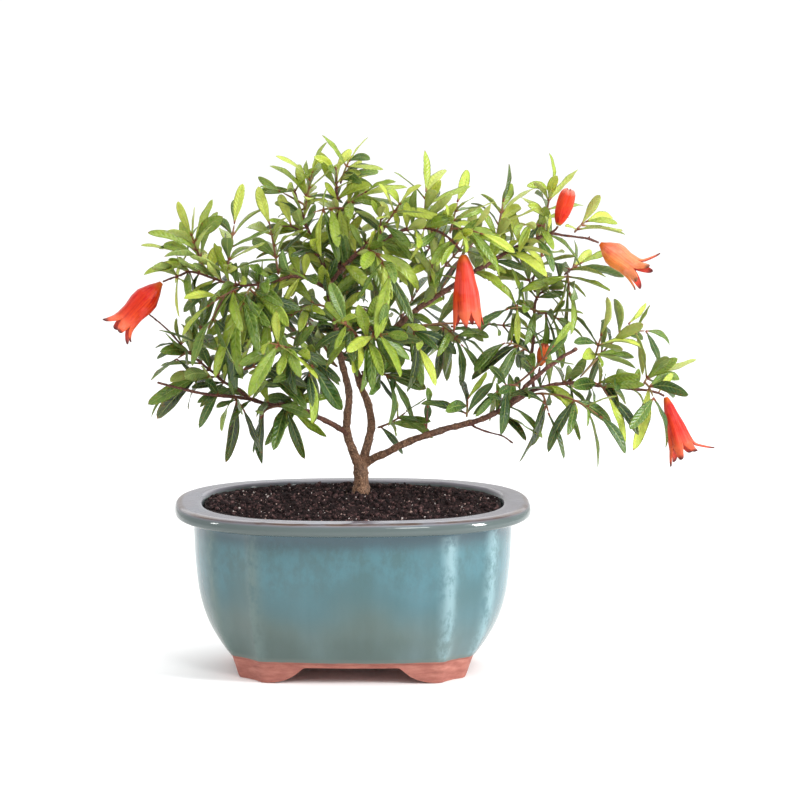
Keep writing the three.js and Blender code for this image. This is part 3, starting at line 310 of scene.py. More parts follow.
def blades_of(surface):
    """Reads every folded blade of a packed shoot and deletes it from the surface."""
    blades = []
    gone = set()
    for tip in surface.verts:
        if len(tip.link_faces) != 4 or sum(l.calc_angle() for l in tip.link_loops) > 2.6:
            continue
        outer = [edge.other_vert(tip) for edge in tip.link_edges]
        inner = {edge.other_vert(v) for v in outer for edge in v.link_edges} - {tip, *outer}
        near, near_face, _ = section_of(sorted(inner, key=lambda v: v.index))
        far, far_face, width = section_of(outer)
        blades.append({
            "knots": [near.copy(), far.copy(), tip.co.copy()],
            "faces": [near_face, far_face],
            "width": width / packed_width(LEAF["rings"][1]),
        })
        gone |= {tip, *outer, *inner}
    bmesh.ops.delete(surface, geom=list(gone), context="VERTS")
    bmesh.ops.holes_fill(surface, edges=surface.edges, sides=0)
    return blades


def spine(knots, share):
    """The curve through a blade's two sections and its tip, from its root."""
    a, b = LEAF["rings"]
    c = 1.0
    weights = [
        (share - b) * (share - c) / ((a - b) * (a - c)),
        (share - a) * (share - c) / ((b - a) * (b - c)),
        (share - a) * (share - b) / ((c - a) * (c - b)),
    ]
    return sum((knot * weight for knot, weight in zip(knots, weights)), Vector())


def blade_outline(body, blunt):
    """Half-width of a leaf past its stalk: a long taper, even sides and a blunt tip."""
    rise = 0.1 + 0.9 * float(smooth_share(-0.12, 0.52, body))
    past = max(0.0, (body - 0.52) / 0.48)
    return rise * max(0.0, 1 - past**2.3) ** blunt


def blade_points(blade, draw):
    """Closed rings of points round a fine blade, with share across and along."""
    knots = blade["knots"]
    length = (knots[2] - spine(knots, 0)).length
    twist = draw.uniform(-0.7, 0.7)
    curl = draw.uniform(-0.42, 0.1) * length
    sickle = draw.uniform(-0.17, 0.17) * length
    wave, phase = draw.uniform(0.03, 0.14), draw.uniform(0, 6.3)
    fold = LEAF["channel"] * draw.uniform(0.3, 1.7)
    blunt = draw.uniform(0.5, 0.68)
    slim = LEAF["slimness"] * draw.uniform(0.9, 1.15)
    points, marks = [], []
    columns = LEAF["across"]
    count = LEAF["stations"]
    for i in range(count):
        even = i / (count - 1)
        share = lerp(even, (1 - math.cos(math.pi * even)) / 2, 0.5)
        centre = spine(knots, share)
        axis = (spine(knots, min(1, share + 0.02)) - spine(knots, share - 0.02)).normalized()
        turn = min(1, max(0, (share - 0.27) / 0.39))
        face = blade["faces"][0].lerp(blade["faces"][1], turn)
        face = (face - axis * face.dot(axis)).normalized()
        across = face.cross(axis)
        angle = twist * (share - 0.4)
        across, face = (
            across * math.cos(angle) + face * math.sin(angle),
            face * math.cos(angle) - across * math.sin(angle),
        )
        past = max(0.0, share - 0.25)
        centre = centre + face * curl * past * past + across * sickle * past * past
        body = max(0.0, (share - 0.06) / 0.94)
        width = blade["width"] * slim * blade_outline(body, blunt)
        stalk = LEAF["petiole"] * MM * (1 - float(smooth_share(0.75, 1, share)))
        width = max(width if share > 0.04 else 0, stalk, 0.00008)
        thick = lerp(0.00042, 0.00015, float(smooth_share(0.02, 0.25, share)))
        for side in (1, -1):
            row = columns if side > 0 else columns[-2:0:-1]
            for u in row:
                ripple = math.sin(share * 15 + phase + (1.7 if u > 0 else 0)) * wave * u * u
                rise = width * (fold * abs(u) ** 1.4 + ripple * min(1, 4 * body))
                half = thick * math.sqrt(max(0.0, 1 - u * u))
                groove = math.exp(-((u / 0.12) ** 2)) * 0.0002 * (1 - share)
                offset = rise + side * half + (-groove if side > 0 else -1.6 * groove)
                points.append(centre + across * (u * width) + face * offset)
                marks.append((u, share, 0))
    return points, marks


def age_of(blade, draw):
    """0 for an old dark leaf to 1 for a fresh yellow-green one, with painted light on the front leaves.
    """
    tip = (blade["knots"][2] - CENTRE) / MM
    outward = (abs(tip.x - 5) / 130) ** 1.5
    height = (tip.z - 185) / 110
    # Leaves towards the front are made lighter: painted light on the front of the canopy.
    front = -tip.y / 60
    age = 0.38 + 0.12 * outward + 0.42 * height + 0.08 * front + draw.gauss(0, 0.25)
    return min(1, max(0, age))


def free_blade(base, way, length, draw):
    """A blade of its own from a point, with a fall towards its tip."""
    way = Vector(way).normalized()
    fall = draw.uniform(0.05, 0.45) * length
    out = Vector((base.x, base.y, 0)) - Vector((CENTRE.x, CENTRE.y + 0.01, 0))
    stray = Vector((draw.gauss(0, 0.5), -0.5 + draw.gauss(0, 0.5), draw.gauss(0, 0.3)))
    face = UP * 0.7 + out.normalized() * 0.6 + stray
    face = (face - way * face.dot(way)).normalized()
    knots = [base + way * length * s - UP * fall * s * s for s in (*LEAF["rings"], 1)]
    return {"knots": knots, "faces": [face, face], "width": length * 0.14}


def flower_gap(knot):
    """Millimetres from a point to the nearest open flower, as seen from the front."""
    gaps = []
    for flower in FLOWERS.values():
        start, end = np.array(flower["base"])[[0, 2]], np.array(flower["mouth"])[[0, 2]]
        point = np.array((knot - CENTRE) / MM)[[0, 2]]
        share = np.clip((point - start) @ (end - start) / ((end - start) @ (end - start)), 0, 1.3)
        gaps.append(np.linalg.norm(point - start - (end - start) * share))
    return min(gaps)


def has_room(blade):
    """Whether an added leaf stays off the flowers and above the lowest leaves."""
    gap = min(flower_gap(knot) for knot in blade["knots"][1:])
    return blade["knots"][2].z > LEAF["lowest"] * MM and gap > LEAF["flower_room"]


def companions(blades, draw):
    """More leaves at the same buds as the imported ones, each turned another way."""
    made = []
    for blade in blades:
        if draw.random() > LEAF["companions"]:
            continue
        base = spine(blade["knots"], 0)
        reach = blade["knots"][2] - base
        turn = draw.choice((-1, 1)) * draw.uniform(0.7, 1.9)
        around = (UP + Vector((draw.gauss(0, 0.4), draw.gauss(0, 0.4), 0))).normalized()
        way = reach.copy()
        way.rotate(Quaternion(around, turn))
        way.z += draw.uniform(-0.25, 0.4) * reach.length
        blade = free_blade(base, way, reach.length * draw.uniform(0.7, 1.05), draw)
        if has_room(blade):
            made.append(blade)
    return made


def add_blades(blades, draw, points, faces, kinds, marks, growth):
    """Adds fine blades to the lists that a leafy piece is made from."""
    columns = 2 * len(LEAF["across"]) - 2
    top = len(LEAF["across"]) - 1
    for blade in blades:
        start = len(points)
        ring_points, ring_marks = blade_points(blade, draw)
        age, tint = age_of(blade, draw), draw.random()
        points += ring_points
        marks += ring_marks
        growth += [(age, tint, 0)] * len(ring_points)
        quads = grid_faces(LEAF["stations"], columns, start, closed=True)
        faces += quads
        kinds += [0 if k % columns < top else 1 for k in range(len(quads))]
        first = list(range(start, start + columns))
        last = [k + len(ring_points) - columns for k in first]
        faces += [first[::-1], last]
        kinds += [1, 1]


def leafy_object(name, materials, points, faces, kinds, marks, growth):
    piece = mesh_object(name, points, faces, materials, kinds)
    set_vectors(piece.data, "blade", marks)
    set_vectors(piece.data, "growth", growth)
    return piece


def build_shoot(name, packed, materials, number):
    draw = random.Random(900 + number)
    surface = bmesh.new()
    surface.from_mesh(packed.data)
    bmesh.ops.remove_doubles(surface, verts=surface.verts, dist=1e-6)
    blades = blades_of(surface)
    lists = [], [], [], [], []
    add_blades(blades + companions(blades, draw), draw, *lists)
    stems = smooth_stems(surface)
    points, faces, kinds, marks, growth = lists
    start = len(points)
    points += [v.co.copy() for v in stems.vertices]
    faces += [[start + k for k in p.vertices] for p in stems.polygons]
    kinds += [2] * len(stems.polygons)
    marks += [(0, 0, 0)] * len(stems.vertices)
    growth += [(0, 0, 0)] * len(stems.vertices)
    bpy.data.meshes.remove(stems)
    surface.free()
    return leafy_object(name, materials, *lists)


# Stretches of the branches that carry short spurs of leaves, from knot to knot,
# and how many spurs.
SPURS = {
    "leftLimb": (7, 13, 14),
    "centreLimb": (6, 12, 17),
    "upperLeft": (1, 8.4, 19),
    "crossBranch": (0.6, 8.6, 16),
    "greyBranch": (1.2, 9, 14),
    "rightRiser": (1, 7, 9),
    "rightFork": (2, 9.6, 9),
    "rightLimb": (8, 12, 4),
    "leftLowFork": (1, 5.6, 7),
    "leftLow": (2, 7, 6),
}


def build_spurs(name, materials, number):
    """Tufts of leaves on short spurs along one branch."""
    draw = random.Random(4000 + number)
    start, end, count = SPURS[name]
    knots = [np.array(k, float) for k in BRANCHES[name][1]]
    lists = [], [], [], [], []
    for k in range(count):
        knot = start + (end - start) * (k + draw.uniform(0.1, 0.9)) / count
        point, axis = curve_point(knots, knot / (len(knots) - 1))
        base = Vector(placed([point])[0])
        axis = Vector(axis)
        turn = draw.uniform(0, math.tau)
        blades = []
        for _ in range(draw.choice((2, 3, 3, 4))):
            turn += draw.uniform(1.4, 2.6)
            side = axis.orthogonal().normalized()
            side.rotate(Quaternion(axis, turn))
            way = side + axis * draw.uniform(-0.1, 0.9) + UP * draw.uniform(0.1, 0.7)
            blades.append(free_blade(base, way, draw.uniform(0.016, 0.029), draw))
        add_blades(filter(has_room, blades), draw, *lists)
    return leafy_object("spur_leaves_" + name, materials, *lists)


def baked(piece):
    """Bakes a piece's modifiers into its mesh."""
    graph = bpy.context.evaluated_depsgraph_get()
    mesh = bpy.data.meshes.new_from_object(piece.evaluated_get(graph))
    old = piece.data
    piece.modifiers.clear()
    piece.data = mesh
    bpy.data.meshes.remove(old)
    return piece


def smooth_stems(surface):
    """The stems left when the blades are gone, rounded off."""
    bmesh.ops.join_triangles(
        surface, faces=surface.faces, angle_face_threshold=1.2, angle_shape_threshold=3.0
    )
    mesh = bpy.data.meshes.new("stems")
    surface.to_mesh(mesh)
    piece = bpy.data.objects.new("stems", mesh)
    bpy.context.scene.collection.objects.link(piece)
    rounding = piece.modifiers.new("rounding", "SUBSURF")
    rounding.levels = 2
    rounding.render_levels = 2
    baked(piece)
    stems = piece.data
    bpy.data.objects.remove(piece)
    return stems


# --------------------------------------------------------------------- the wood

# Knots in millimetres from the pot's centre, and the radii at the two ends.
BRANCHES = {
    "trunk": ((4.9, 3.9), [(4.5, 8, 79), (4.3, 8, 87), (4.7, 8, 105), (4.5, 8, 119)]),
    "leftLimb": ((3.1, 0.9), [
        (4, 8, 115), (-1, 6, 128), (-3.5, 4, 137), (-3, 2, 147), (-2, 0, 158), (-4, -3, 170),
        (-7, -6, 182), (-9, -8, 196), (-12, -9, 210), (-14, -8, 221), (-17, -6, 236),
        (-23, -3, 249), (-28, 0, 261), (-34, 4, 278),
    ]),
    "centreLimb": ((3.0, 0.8), [
        (5, 8, 116), (9, 11, 131), (10.5, 13, 141), (8, 14, 153), (4, 13, 163), (1, 12, 175),
        (-3, 10, 189), (-5, 9, 204), (-6, 7, 219), (-8, 5, 239), (-8, 3, 257), (-9, 2, 275),
        (-10, 2, 291),
    ]),
    "rightLimb": ((2.7, 1.2), [
        (6, 8, 116), (12, 6, 121), (20, 3, 125), (30, 0, 131), (42, -3, 136), (52, -6, 140),
        (62, -8, 143), (72, -10, 146), (80, -12, 150), (88, -13, 154), (95, -15, 162),
        (102, -17, 170), (110, -19, 177), (119, -21, 184), (128, -23, 190),
    ]),
    "leftLow": ((1.9, 0.8), [
        (-3.5, 4, 136), (-12, 0, 142), (-26, -6, 150), (-38, -10, 155), (-46, -12, 155),
        (-58, -16, 159), (-70, -18, 161), (-85, -20, 163), (-100, -22, 167), (-111, -23, 170),
    ]),
    "leftLowFork": ((1.2, 0.6), [
        (-58, -16, 159), (-65, -14, 164), (-73, -12, 168), (-80, -10, 174), (-88, -8, 180),
        (-95, -7, 186), (-106, -6, 198), (-117, -5, 207),
    ]),
    "upperLeft": ((1.3, 0.7), [
        (-14, -8, 221), (-24, -12, 228), (-35, -16, 230), (-48, -20, 227), (-60, -22, 226),
        (-70, -22, 227), (-80, -20, 230), (-91, -18, 233), (-100, -17, 230), (-108, -16, 227),
    ]),
    "crossBranch": ((1.5, 0.8), [
        (-14, -8, 223), (-5, -12, 235), (5, -15, 245), (13, -17, 249), (22, -19, 254),
        (31, -21, 258), (41, -22, 259), (50, -23, 257), (57, -24, 252), (62.2, -26, 246),
    ]),
    "greyBranch": ((2.3, 1.0), [
        (4, 13, 163), (12, 8, 177), (24, 1, 197), (38, -5, 210), (52, -8, 220), (70, -9, 232),
        (80, -8, 238), (90, -6, 244), (102, -4, 249), (112, -2, 253),
    ]),
    "rightFork": ((1.7, 0.8), [
        (88, -13, 154), (96, -9, 159), (104, -6, 163), (112, -4, 165), (120, -2, 166),
        (127, 0, 166), (137, 0, 165), (148, -1, 164), (160, -2, 163), (172, -4, 162),
        (178.5, -5, 159.5),
    ]),
    "rightRiser": ((1.3, 0.7), [
        (104, -6, 163), (102, 1, 175), (103, 7, 186), (104, 11, 197), (104, 14, 207),
        (106, 16, 214), (112, 19, 218), (120, 22, 223),
    ]),
    "flowerStalk": ((0.9, 0.8), [
        (112, -2, 253), (122, -4, 252), (132, -6, 251), (140.5, -8, 248.5),
    ]),
    "budStalk": ((0.9, 0.8), [(110, -2.5, 252), (115, -6, 255), (117, -8, 258)]),
    "smallBudStalk": ((0.8, 0.7), [(105, -17.6, 172.5), (106.5, -12, 174.5), (107, -8, 176.5)]),
    "curledTwig": ((0.8, 0.6), [
        (67, -9, 144), (71, -12, 142), (78, -15, 140), (86, -17, 138), (92, -18, 134),
    ]),
}

BARK = {
    "step": 0.9,  # along a branch, between the rings of its tube
    "sides": 14,
    "voxel": 0.00043,
    "slimness": 0.86,
    "flare": 0.55,
    "soil": 98.0,
    "stubs": 34,
}


def curve_point(knots, share):
    """The smooth curve through a branch's knots, and its direction."""
    ends = [2 * knots[0] - knots[1], *knots, 2 * knots[-1] - knots[-2]]
    at = min(share, 0.999999) * (len(knots) - 1)
    k = int(at)
    t = at - k
    a, b, c, d = ends[k: k + 4]
    point = 0.5 * (
        2 * b + (c - a) * t + (2 * a - 5 * b + 4 * c - d) * t * t + (3 * b - a - 3 * c + d) * t**3
    )
    slope = (c - a) + 2 * (2 * a - 5 * b + 4 * c - d) * t + 3 * (3 * b - a - 3 * c + d) * t * t
    return point, slope / np.linalg.norm(slope)


def tube(points, radii, sides, offset):
    """A capped round tube through points, as lists of points and faces."""
    rings = []
    points = [np.asarray(p, float) for p in points]
    hint = np.array([0.31, 0.95, 0.05])
    for k, (point, radius) in enumerate(zip(points, radii)):
        axis = points[min(k + 1, len(points) - 1)] - points[max(k - 1, 0)]
        axis = axis / np.linalg.norm(axis)
        across = np.cross(hint, axis)
        across /= np.linalg.norm(across)
        hint = np.cross(axis, across)
        for j in range(sides):
            angle = j / sides * math.tau
            rings.append(point + radius * (across * math.cos(angle) + hint * math.sin(angle)))
    return rings, closed_tube(len(points), sides, offset)


def build_wood(bark):
    draw = random.Random(41)
    noise.seed_set(41)  # without it noise_vector, below, differs from run to run
    points, faces, trace = [], [], []
    for name, (radii, knots) in BRANCHES.items():
        knots = [np.array(k, float) for k in knots]
        length = sum(np.linalg.norm(b - a) for a, b in zip(knots, knots[1:]))
        count = max(4, int(length / BARK["step"]))
        node_gap, phase = draw.uniform(7, 10), draw.uniform(0, 6)
        middle, thick = [], []
        for k in range(count + 1):
            share = k / count
            point, axis = curve_point(knots, share)
            radius = lerp(radii[0], radii[1], share) * (1 if name == "trunk" else BARK["slimness"])
            along = share * length
            node = math.exp(-((((along + phase) % node_gap) - 2) / 0.9) ** 2)
            radius *= 1 + (0.2 if radius < 2 else 0.1) * node
            radius += 0.12 * math.sin(along * 0.37 + phase) * min(1, radius / 2)
            if name == "trunk":
                above = max(0, point[2] - BARK["soil"])
                radius *= 1 + BARK["flare"] * math.exp(-above / 3.2)
            wander = noise.noise_vector(Vector(point) * 0.16) * 0.35
            point = point + np.array(wander)
            middle.append(point)
            thick.append(radius)
            trace.append((point, axis, along + 37 * len(trace), radius))
        ring, made = tube(middle, thick, BARK["sides"], len(points))
        points += ring
        faces += made
    for _ in range(BARK["stubs"]):
        point, axis, _, radius = trace[draw.randrange(len(trace))]
        if point[2] < 123:
            continue
        out = np.array([draw.gauss(0, 1), draw.gauss(0, 1), draw.gauss(0.3, 1)])
        out -= axis * out.dot(axis)
        out /= np.linalg.norm(out)
        way = out + axis * draw.uniform(0.2, 1.0)
        way /= np.linalg.norm(way)
        reach = radius + draw.uniform(1.0, 3.4)
        thick = min(radius * 0.7, draw.uniform(0.5, 0.95))
        stub = [point + way * reach * s for s in (0, 0.4, 0.8, 1)]
        ring, made = tube(stub, [thick * 1.15, thick, thick * 0.9, thick * 0.55], 10, len(points))
        points += ring
        faces += made
    piece = mesh_object("wood_grown", placed(points), faces, [bark])
    remesh = piece.modifiers.new("joined", "REMESH")
    remesh.mode = "VOXEL"
    remesh.voxel_size = BARK["voxel"]
    remesh.use_smooth_shade = True
    smooth = piece.modifiers.new("smooth", "SMOOTH")
    smooth.factor = 0.5
    smooth.iterations = 2
    baked(piece)
    bark_relief(piece, trace)
    piece.data.polygons.foreach_set("use_smooth", [True] * len(piece.data.polygons))
    return piece


def bark_relief(piece, trace):
    """Ridges that run along the branches, and the coordinates the bark is drawn with."""
    mesh = piece.data
    tree = kdtree.KDTree(len(trace))
    for k, (point, *_rest) in enumerate(trace):
        tree.insert(point, k)
    tree.balance()
    count = len(mesh.vertices)
    normals = [v.normal.copy() for v in mesh.vertices]
    grain, girth = np.zeros((count, 3)), np.zeros((count, 3))
    for vertex, normal in zip(mesh.vertices, normals):
        local = (vertex.co - CENTRE) / MM
        _, k, _ = tree.find(local)
        point, axis, along, radius = trace[k]
        axis, away = Vector(axis), local - Vector(point)
        run = along + away.dot(axis)
        away -= axis * away.dot(axis)
        coords = Vector((away.x + away.z * 0.5, away.y - away.z * 0.5, run * 0.14))
        lumps = noise.fractal(coords * 1.1, 1.0, 2.0, 4)
        flakes = noise.noise(local * 0.9)
        depth = min(0.34, 0.05 + 0.075 * radius)
        vertex.co += normal * MM * depth * (lumps * 0.9 + 0.35 * flakes)
        grain[vertex.index] = coords
        girth[vertex.index] = (radius, lumps, local.z)
    set_vectors(mesh, "grain", grain)
    set_vectors(mesh, "girth", girth)


def bark_material():
    """Brown bark, grey-tan on the thick wood and reddish on the thin twigs."""
    shader = Shader("bark", IOR=1.4)
    grain = shader.add("Attribute", attribute_name="grain").outputs["Vector"]
    radius, lumps, _ = shader.attribute("girth")
    place = shader.place()
    streak = shader.noise(grain, 2.6, 6, 0.6)
    patch = shader.noise(place, 70, 4)
    old = shader.ramp(streak, [
        (0.28, (56, 36, 28)),
        (0.42, (108, 74, 56)),
        (0.54, (148, 110, 84)),
        (0.68, (188, 152, 120)),
        (0.8, (206, 180, 150)),
    ])
    old = shader.mix(shader.span(patch, 0.45, 0.7, 0, 0.45), old, (120, 104, 92))
    young = shader.ramp(streak, [
        (0.3, (58, 32, 32)),
        (0.5, (104, 62, 54)),
        (0.66, (138, 92, 72)),
        (0.8, (166, 126, 98)),
    ])
    color = shader.mix(shader.span(radius, 1.3, 2.3), young, old)
    # Near-black brown where the relief sinks in: painted shade in the bark's hollows.
    color = shader.mix(shader.span(lumps, 0.05, -0.3, 0, 0.55), color, (40, 26, 22))
    lenticels = shader.span(shader.cells(place, 750), 0.14, 0.05)
    color = shader.mix(shader.times(lenticels, 0.55), color, (190, 164, 132))
    shader.set("Roughness", shader.span(streak, 0.3, 0.7, 0.78, 0.6))
    height = shader.plus(streak, shader.times(shader.noise(place, 1400, 3), 0.4))
    return shader.finish(color, height, 0.0005, 0.8)


# ----------------------------------------------------------------------- the pot

POT = {
    "steps": (14, 26, 26),  # outline points on a quarter: side panel, cut corner, front panel
    "level_gap": 1.1,
    "crease": 2,  # outline points that a crease is rounded over
    "foot_width": 66.5,  # half-width where the corners are cut least
    "growth": 25,  # and how much wider the pot is where they are cut most
    "lip": (102.2, 76.3),
    "wall_top": 88.7,
    "hollow": 1.6,
    "oval_power": 2.55,  # a level wholly softened is an oval of this power
    "twist": math.radians(2.4),  # and is turned by this from the feet
    "front_arch": (50, 26),  # half-widths of an arch on the ground and at its top
    "side_arch": (30, 16),
    "arch_steps": 16,
    "foot_top": 9.5,
    "hole_radius": 7,
    "hole_offset": 38,
    "glaze_end": 12.8,
}

# Half-width, half-depth, height and softness of the corners, from the foot up the
# outside, over the lip and down the inside.
OUTSIDE = [
    (66.5, 48.5, 0.0, 0), (68.2, 49.8, 5, 0), (70.0, 51.0, 10.0, 0), (70.5, 51.4, 11.4, 0),
    (71.6, 52.2, 12.0, 0), (72.9, 52.9, 13.2, 0), (75.2, 54.3, 16, 0), (78.0, 56.0, 20, 0),
    (83.4, 59.8, 29.5, 0), (87.8, 63, 43, 0), (90.3, 64.6, 62, 0), (91.2, 65.1, 79, 0.06),
    (91.5, 65.4, 86.0, 0.1), (92.8, 66.7, 88.7, 0.3), (96.1, 70.2, 89.4, 0.55),
    (100.1, 74.2, 89.9, 0.85), (101.9, 76.0, 91.4, 1), (102.2, 76.3, 93.1, 1),
    (101.7, 75.8, 95.3, 1), (100.3, 74.5, 96.8, 1), (97.9, 72.3, 97.4, 1),
    (93.6, 68.6, 97.6, 0.93), (89.5, 65.0, 97.7, 0.86), (87.2, 63.1, 97.3, 0.8),
    (86.1, 61.9, 95.6, 0.7), (85.3, 60.9, 92.6, 0.55),
]
INSIDE = [(83, 58.6, 54, 0.3), (67, 46.5, 22, 0.5), (58, 40, 17.5, 0.5)]


def plan_corners(width, depth):
    """Where the bowed panels of the pot's plan meet its cut corners."""
    share = max(0, (width - POT["foot_width"]) / POT["growth"])
    side = (width - lerp(2, 10, share), lerp(29, 36, share))
    front = (lerp(51, 57, share), depth - lerp(3.5, 7.5, share))
    return side, front


def pot_outline(width, depth, soft):
    """The pot's whole plan at one level, in millimetres."""
    side, front = plan_corners(width, depth)
    quarter = []
    sides, corners, panels = POT["steps"]
    for k in range(sides):
        t = k / sides
        quarter.append((lerp(width, side[0], t * t), side[1] * t))
    for k in range(corners):
        t = k / corners
        hollow = POT["hollow"] * (1 - soft) * 0.7 * math.sin(math.pi * t)
        quarter.append((lerp(side[0], front[0], t) - hollow, lerp(side[1], front[1], t) - hollow))
    for k in range(panels):
        t = 1 - k / panels
        quarter.append((front[0] * t, lerp(depth, front[1], t * t)))
    back = [(-x, y) for x, y in [(0, depth)] + quarter[:0:-1]]
    half = np.array(quarter + back)
    outline = averaged(np.vstack([half, -half]), POT["crease"])
    power = POT["oval_power"]
    oval = (np.abs(outline / (width, depth)) ** power).sum(axis=1) ** (-1 / power)
    turn = POT["twist"] * soft
    spin = np.array([[math.cos(turn), math.sin(turn)], [-math.sin(turn), math.cos(turn)]])
    return (outline * lerp(1, oval, soft)[:, None]) @ spin


def averaged(outline, reach):
    """Each point of a closed outline averaged with its neighbours."""
    shifts = [np.roll(outline, d, axis=0) for d in range(-reach, reach + 1)]
    return sum(shifts) / len(shifts)


def fine_levels(levels, gap):
    """A smooth section through the given levels, stepped about evenly."""
    levels = np.array(levels, float)
    fine = []
    ends = np.vstack([2 * levels[0] - levels[1], levels, 2 * levels[-1] - levels[-2]])
    for k in range(len(levels) - 1):
        a, b, c, d = ends[k: k + 4]
        gaps = [np.linalg.norm((q - p)[[0, 2]]) for p, q in ((a, b), (b, c), (c, d))]
        count = max(1, round(gaps[1] / gap))
        t0, t1, t2, t3 = np.cumsum([0] + [max(1e-6, g) ** 0.5 for g in gaps])
        for step in range(count):
            t = lerp(t1, t2, step / count)
            p = a * (t1 - t) / (t1 - t0) + b * (t - t0) / (t1 - t0)
            q = b * (t2 - t) / (t2 - t1) + c * (t - t1) / (t2 - t1)
            r = c * (t3 - t) / (t3 - t2) + d * (t - t2) / (t3 - t2)
            u = p * (t2 - t) / (t2 - t0) + q * (t - t0) / (t2 - t0)
            v = q * (t3 - t) / (t3 - t1) + r * (t - t1) / (t3 - t1)
            fine.append(u * (t2 - t) / (t2 - t1) + v * (t - t1) / (t2 - t1))
    return fine + [levels[-1]]


def arch_cutter(name, turned):
    """A long bar with the outline of the arch between two feet."""
    rise = []
    bottom, top = POT[name]
    run = bottom - top
    across = (bottom, bottom - 0.75 * run, top + 0.17 * run, top)
    upward = (0, 0, POT["foot_top"], POT["foot_top"])
    for k in range(POT["arch_steps"] + 1):
        t = k / POT["arch_steps"]
        weights = ((1 - t) ** 3, 3 * t * (1 - t) ** 2, 3 * t * t * (1 - t), t**3)
        rise.append([sum(w * v for w, v in zip(weights, line)) for line in (across, upward)])
    outline = [(bottom, -2)] + rise + [(-x, z) for x, z in rise[::-1]] + [(-bottom, -2)]
    points = [(x, y, z) for y in (-120, 120) for x, z in outline]
    if turned:
        points = [(-y, x, z) for x, y, z in points]
    return mesh_object(name, placed(points), closed_tube(2, len(outline)), [])


def build_pot(glaze):
    sections = fine_levels(OUTSIDE, POT["level_gap"]) + fine_levels([OUTSIDE[-1], *INSIDE], 4)[1:]
    points = []
    for width, depth, z, soft in sections:
        points += [(x, y, z) for x, y in pot_outline(width, depth, soft)]
    faces = closed_tube(len(sections), len(points) // len(sections))
    piece = mesh_object("pot_glazed", placed(points), faces, [glaze])
    cutters = [arch_cutter("front_arch", False), arch_cutter("side_arch", True)]
    for side in (-1, 1):
        ends = [(side * POT["hole_offset"], 0, 2), (side * POT["hole_offset"], 0, 30)]
        ring, made = tube(ends, [POT["hole_radius"]] * 2, 48, 0)
        cutters.append(mesh_object("drain_%d" % side, placed(ring), made, []))
    for cutter in cutters:
        cut = piece.modifiers.new("cut", "BOOLEAN")
        cut.operation = "DIFFERENCE"
        cut.solver = "EXACT"
        cut.object = cutter
    baked(piece)
    for cutter in cutters:
        bpy.data.meshes.remove(cutter.data)
    mesh = piece.data
    mesh.polygons.foreach_set("use_smooth", [True] * len(mesh.polygons))
    mesh.set_sharp_from_angle(angle=math.radians(35))
    mark_glaze(mesh)
    return piece


def mark_glaze(mesh):
    """Marks, for the glaze, how near a point is to a crease and how far out on the rim."""
    outside = np.array([level for level in OUTSIDE if level[2] <= POT["wall_top"]])
    rim = Quaternion(UP, -POT["twist"])
    power = POT["oval_power"]
    marks = []
    for vertex in mesh.vertices:
        x, y, z = (vertex.co - CENTRE) / MM
        width = np.interp(z, outside[:, 2], outside[:, 0])
        depth = np.interp(z, outside[:, 2], outside[:, 1])
        gap = min(math.hypot(abs(x) - a, abs(y) - b) for a, b in plan_corners(width, depth))
        crease = math.exp(-((gap / 4.5) ** 2)) if z < 87.5 else 0
        a, b, _ = rim @ Vector((x, y, z))
        reach = (abs(a / POT["lip"][0]) ** power + abs(b / POT["lip"][1]) ** power) ** (1 / power)
        marks.append((crease, reach, z))
    set_vectors(mesh, "glaze", marks)


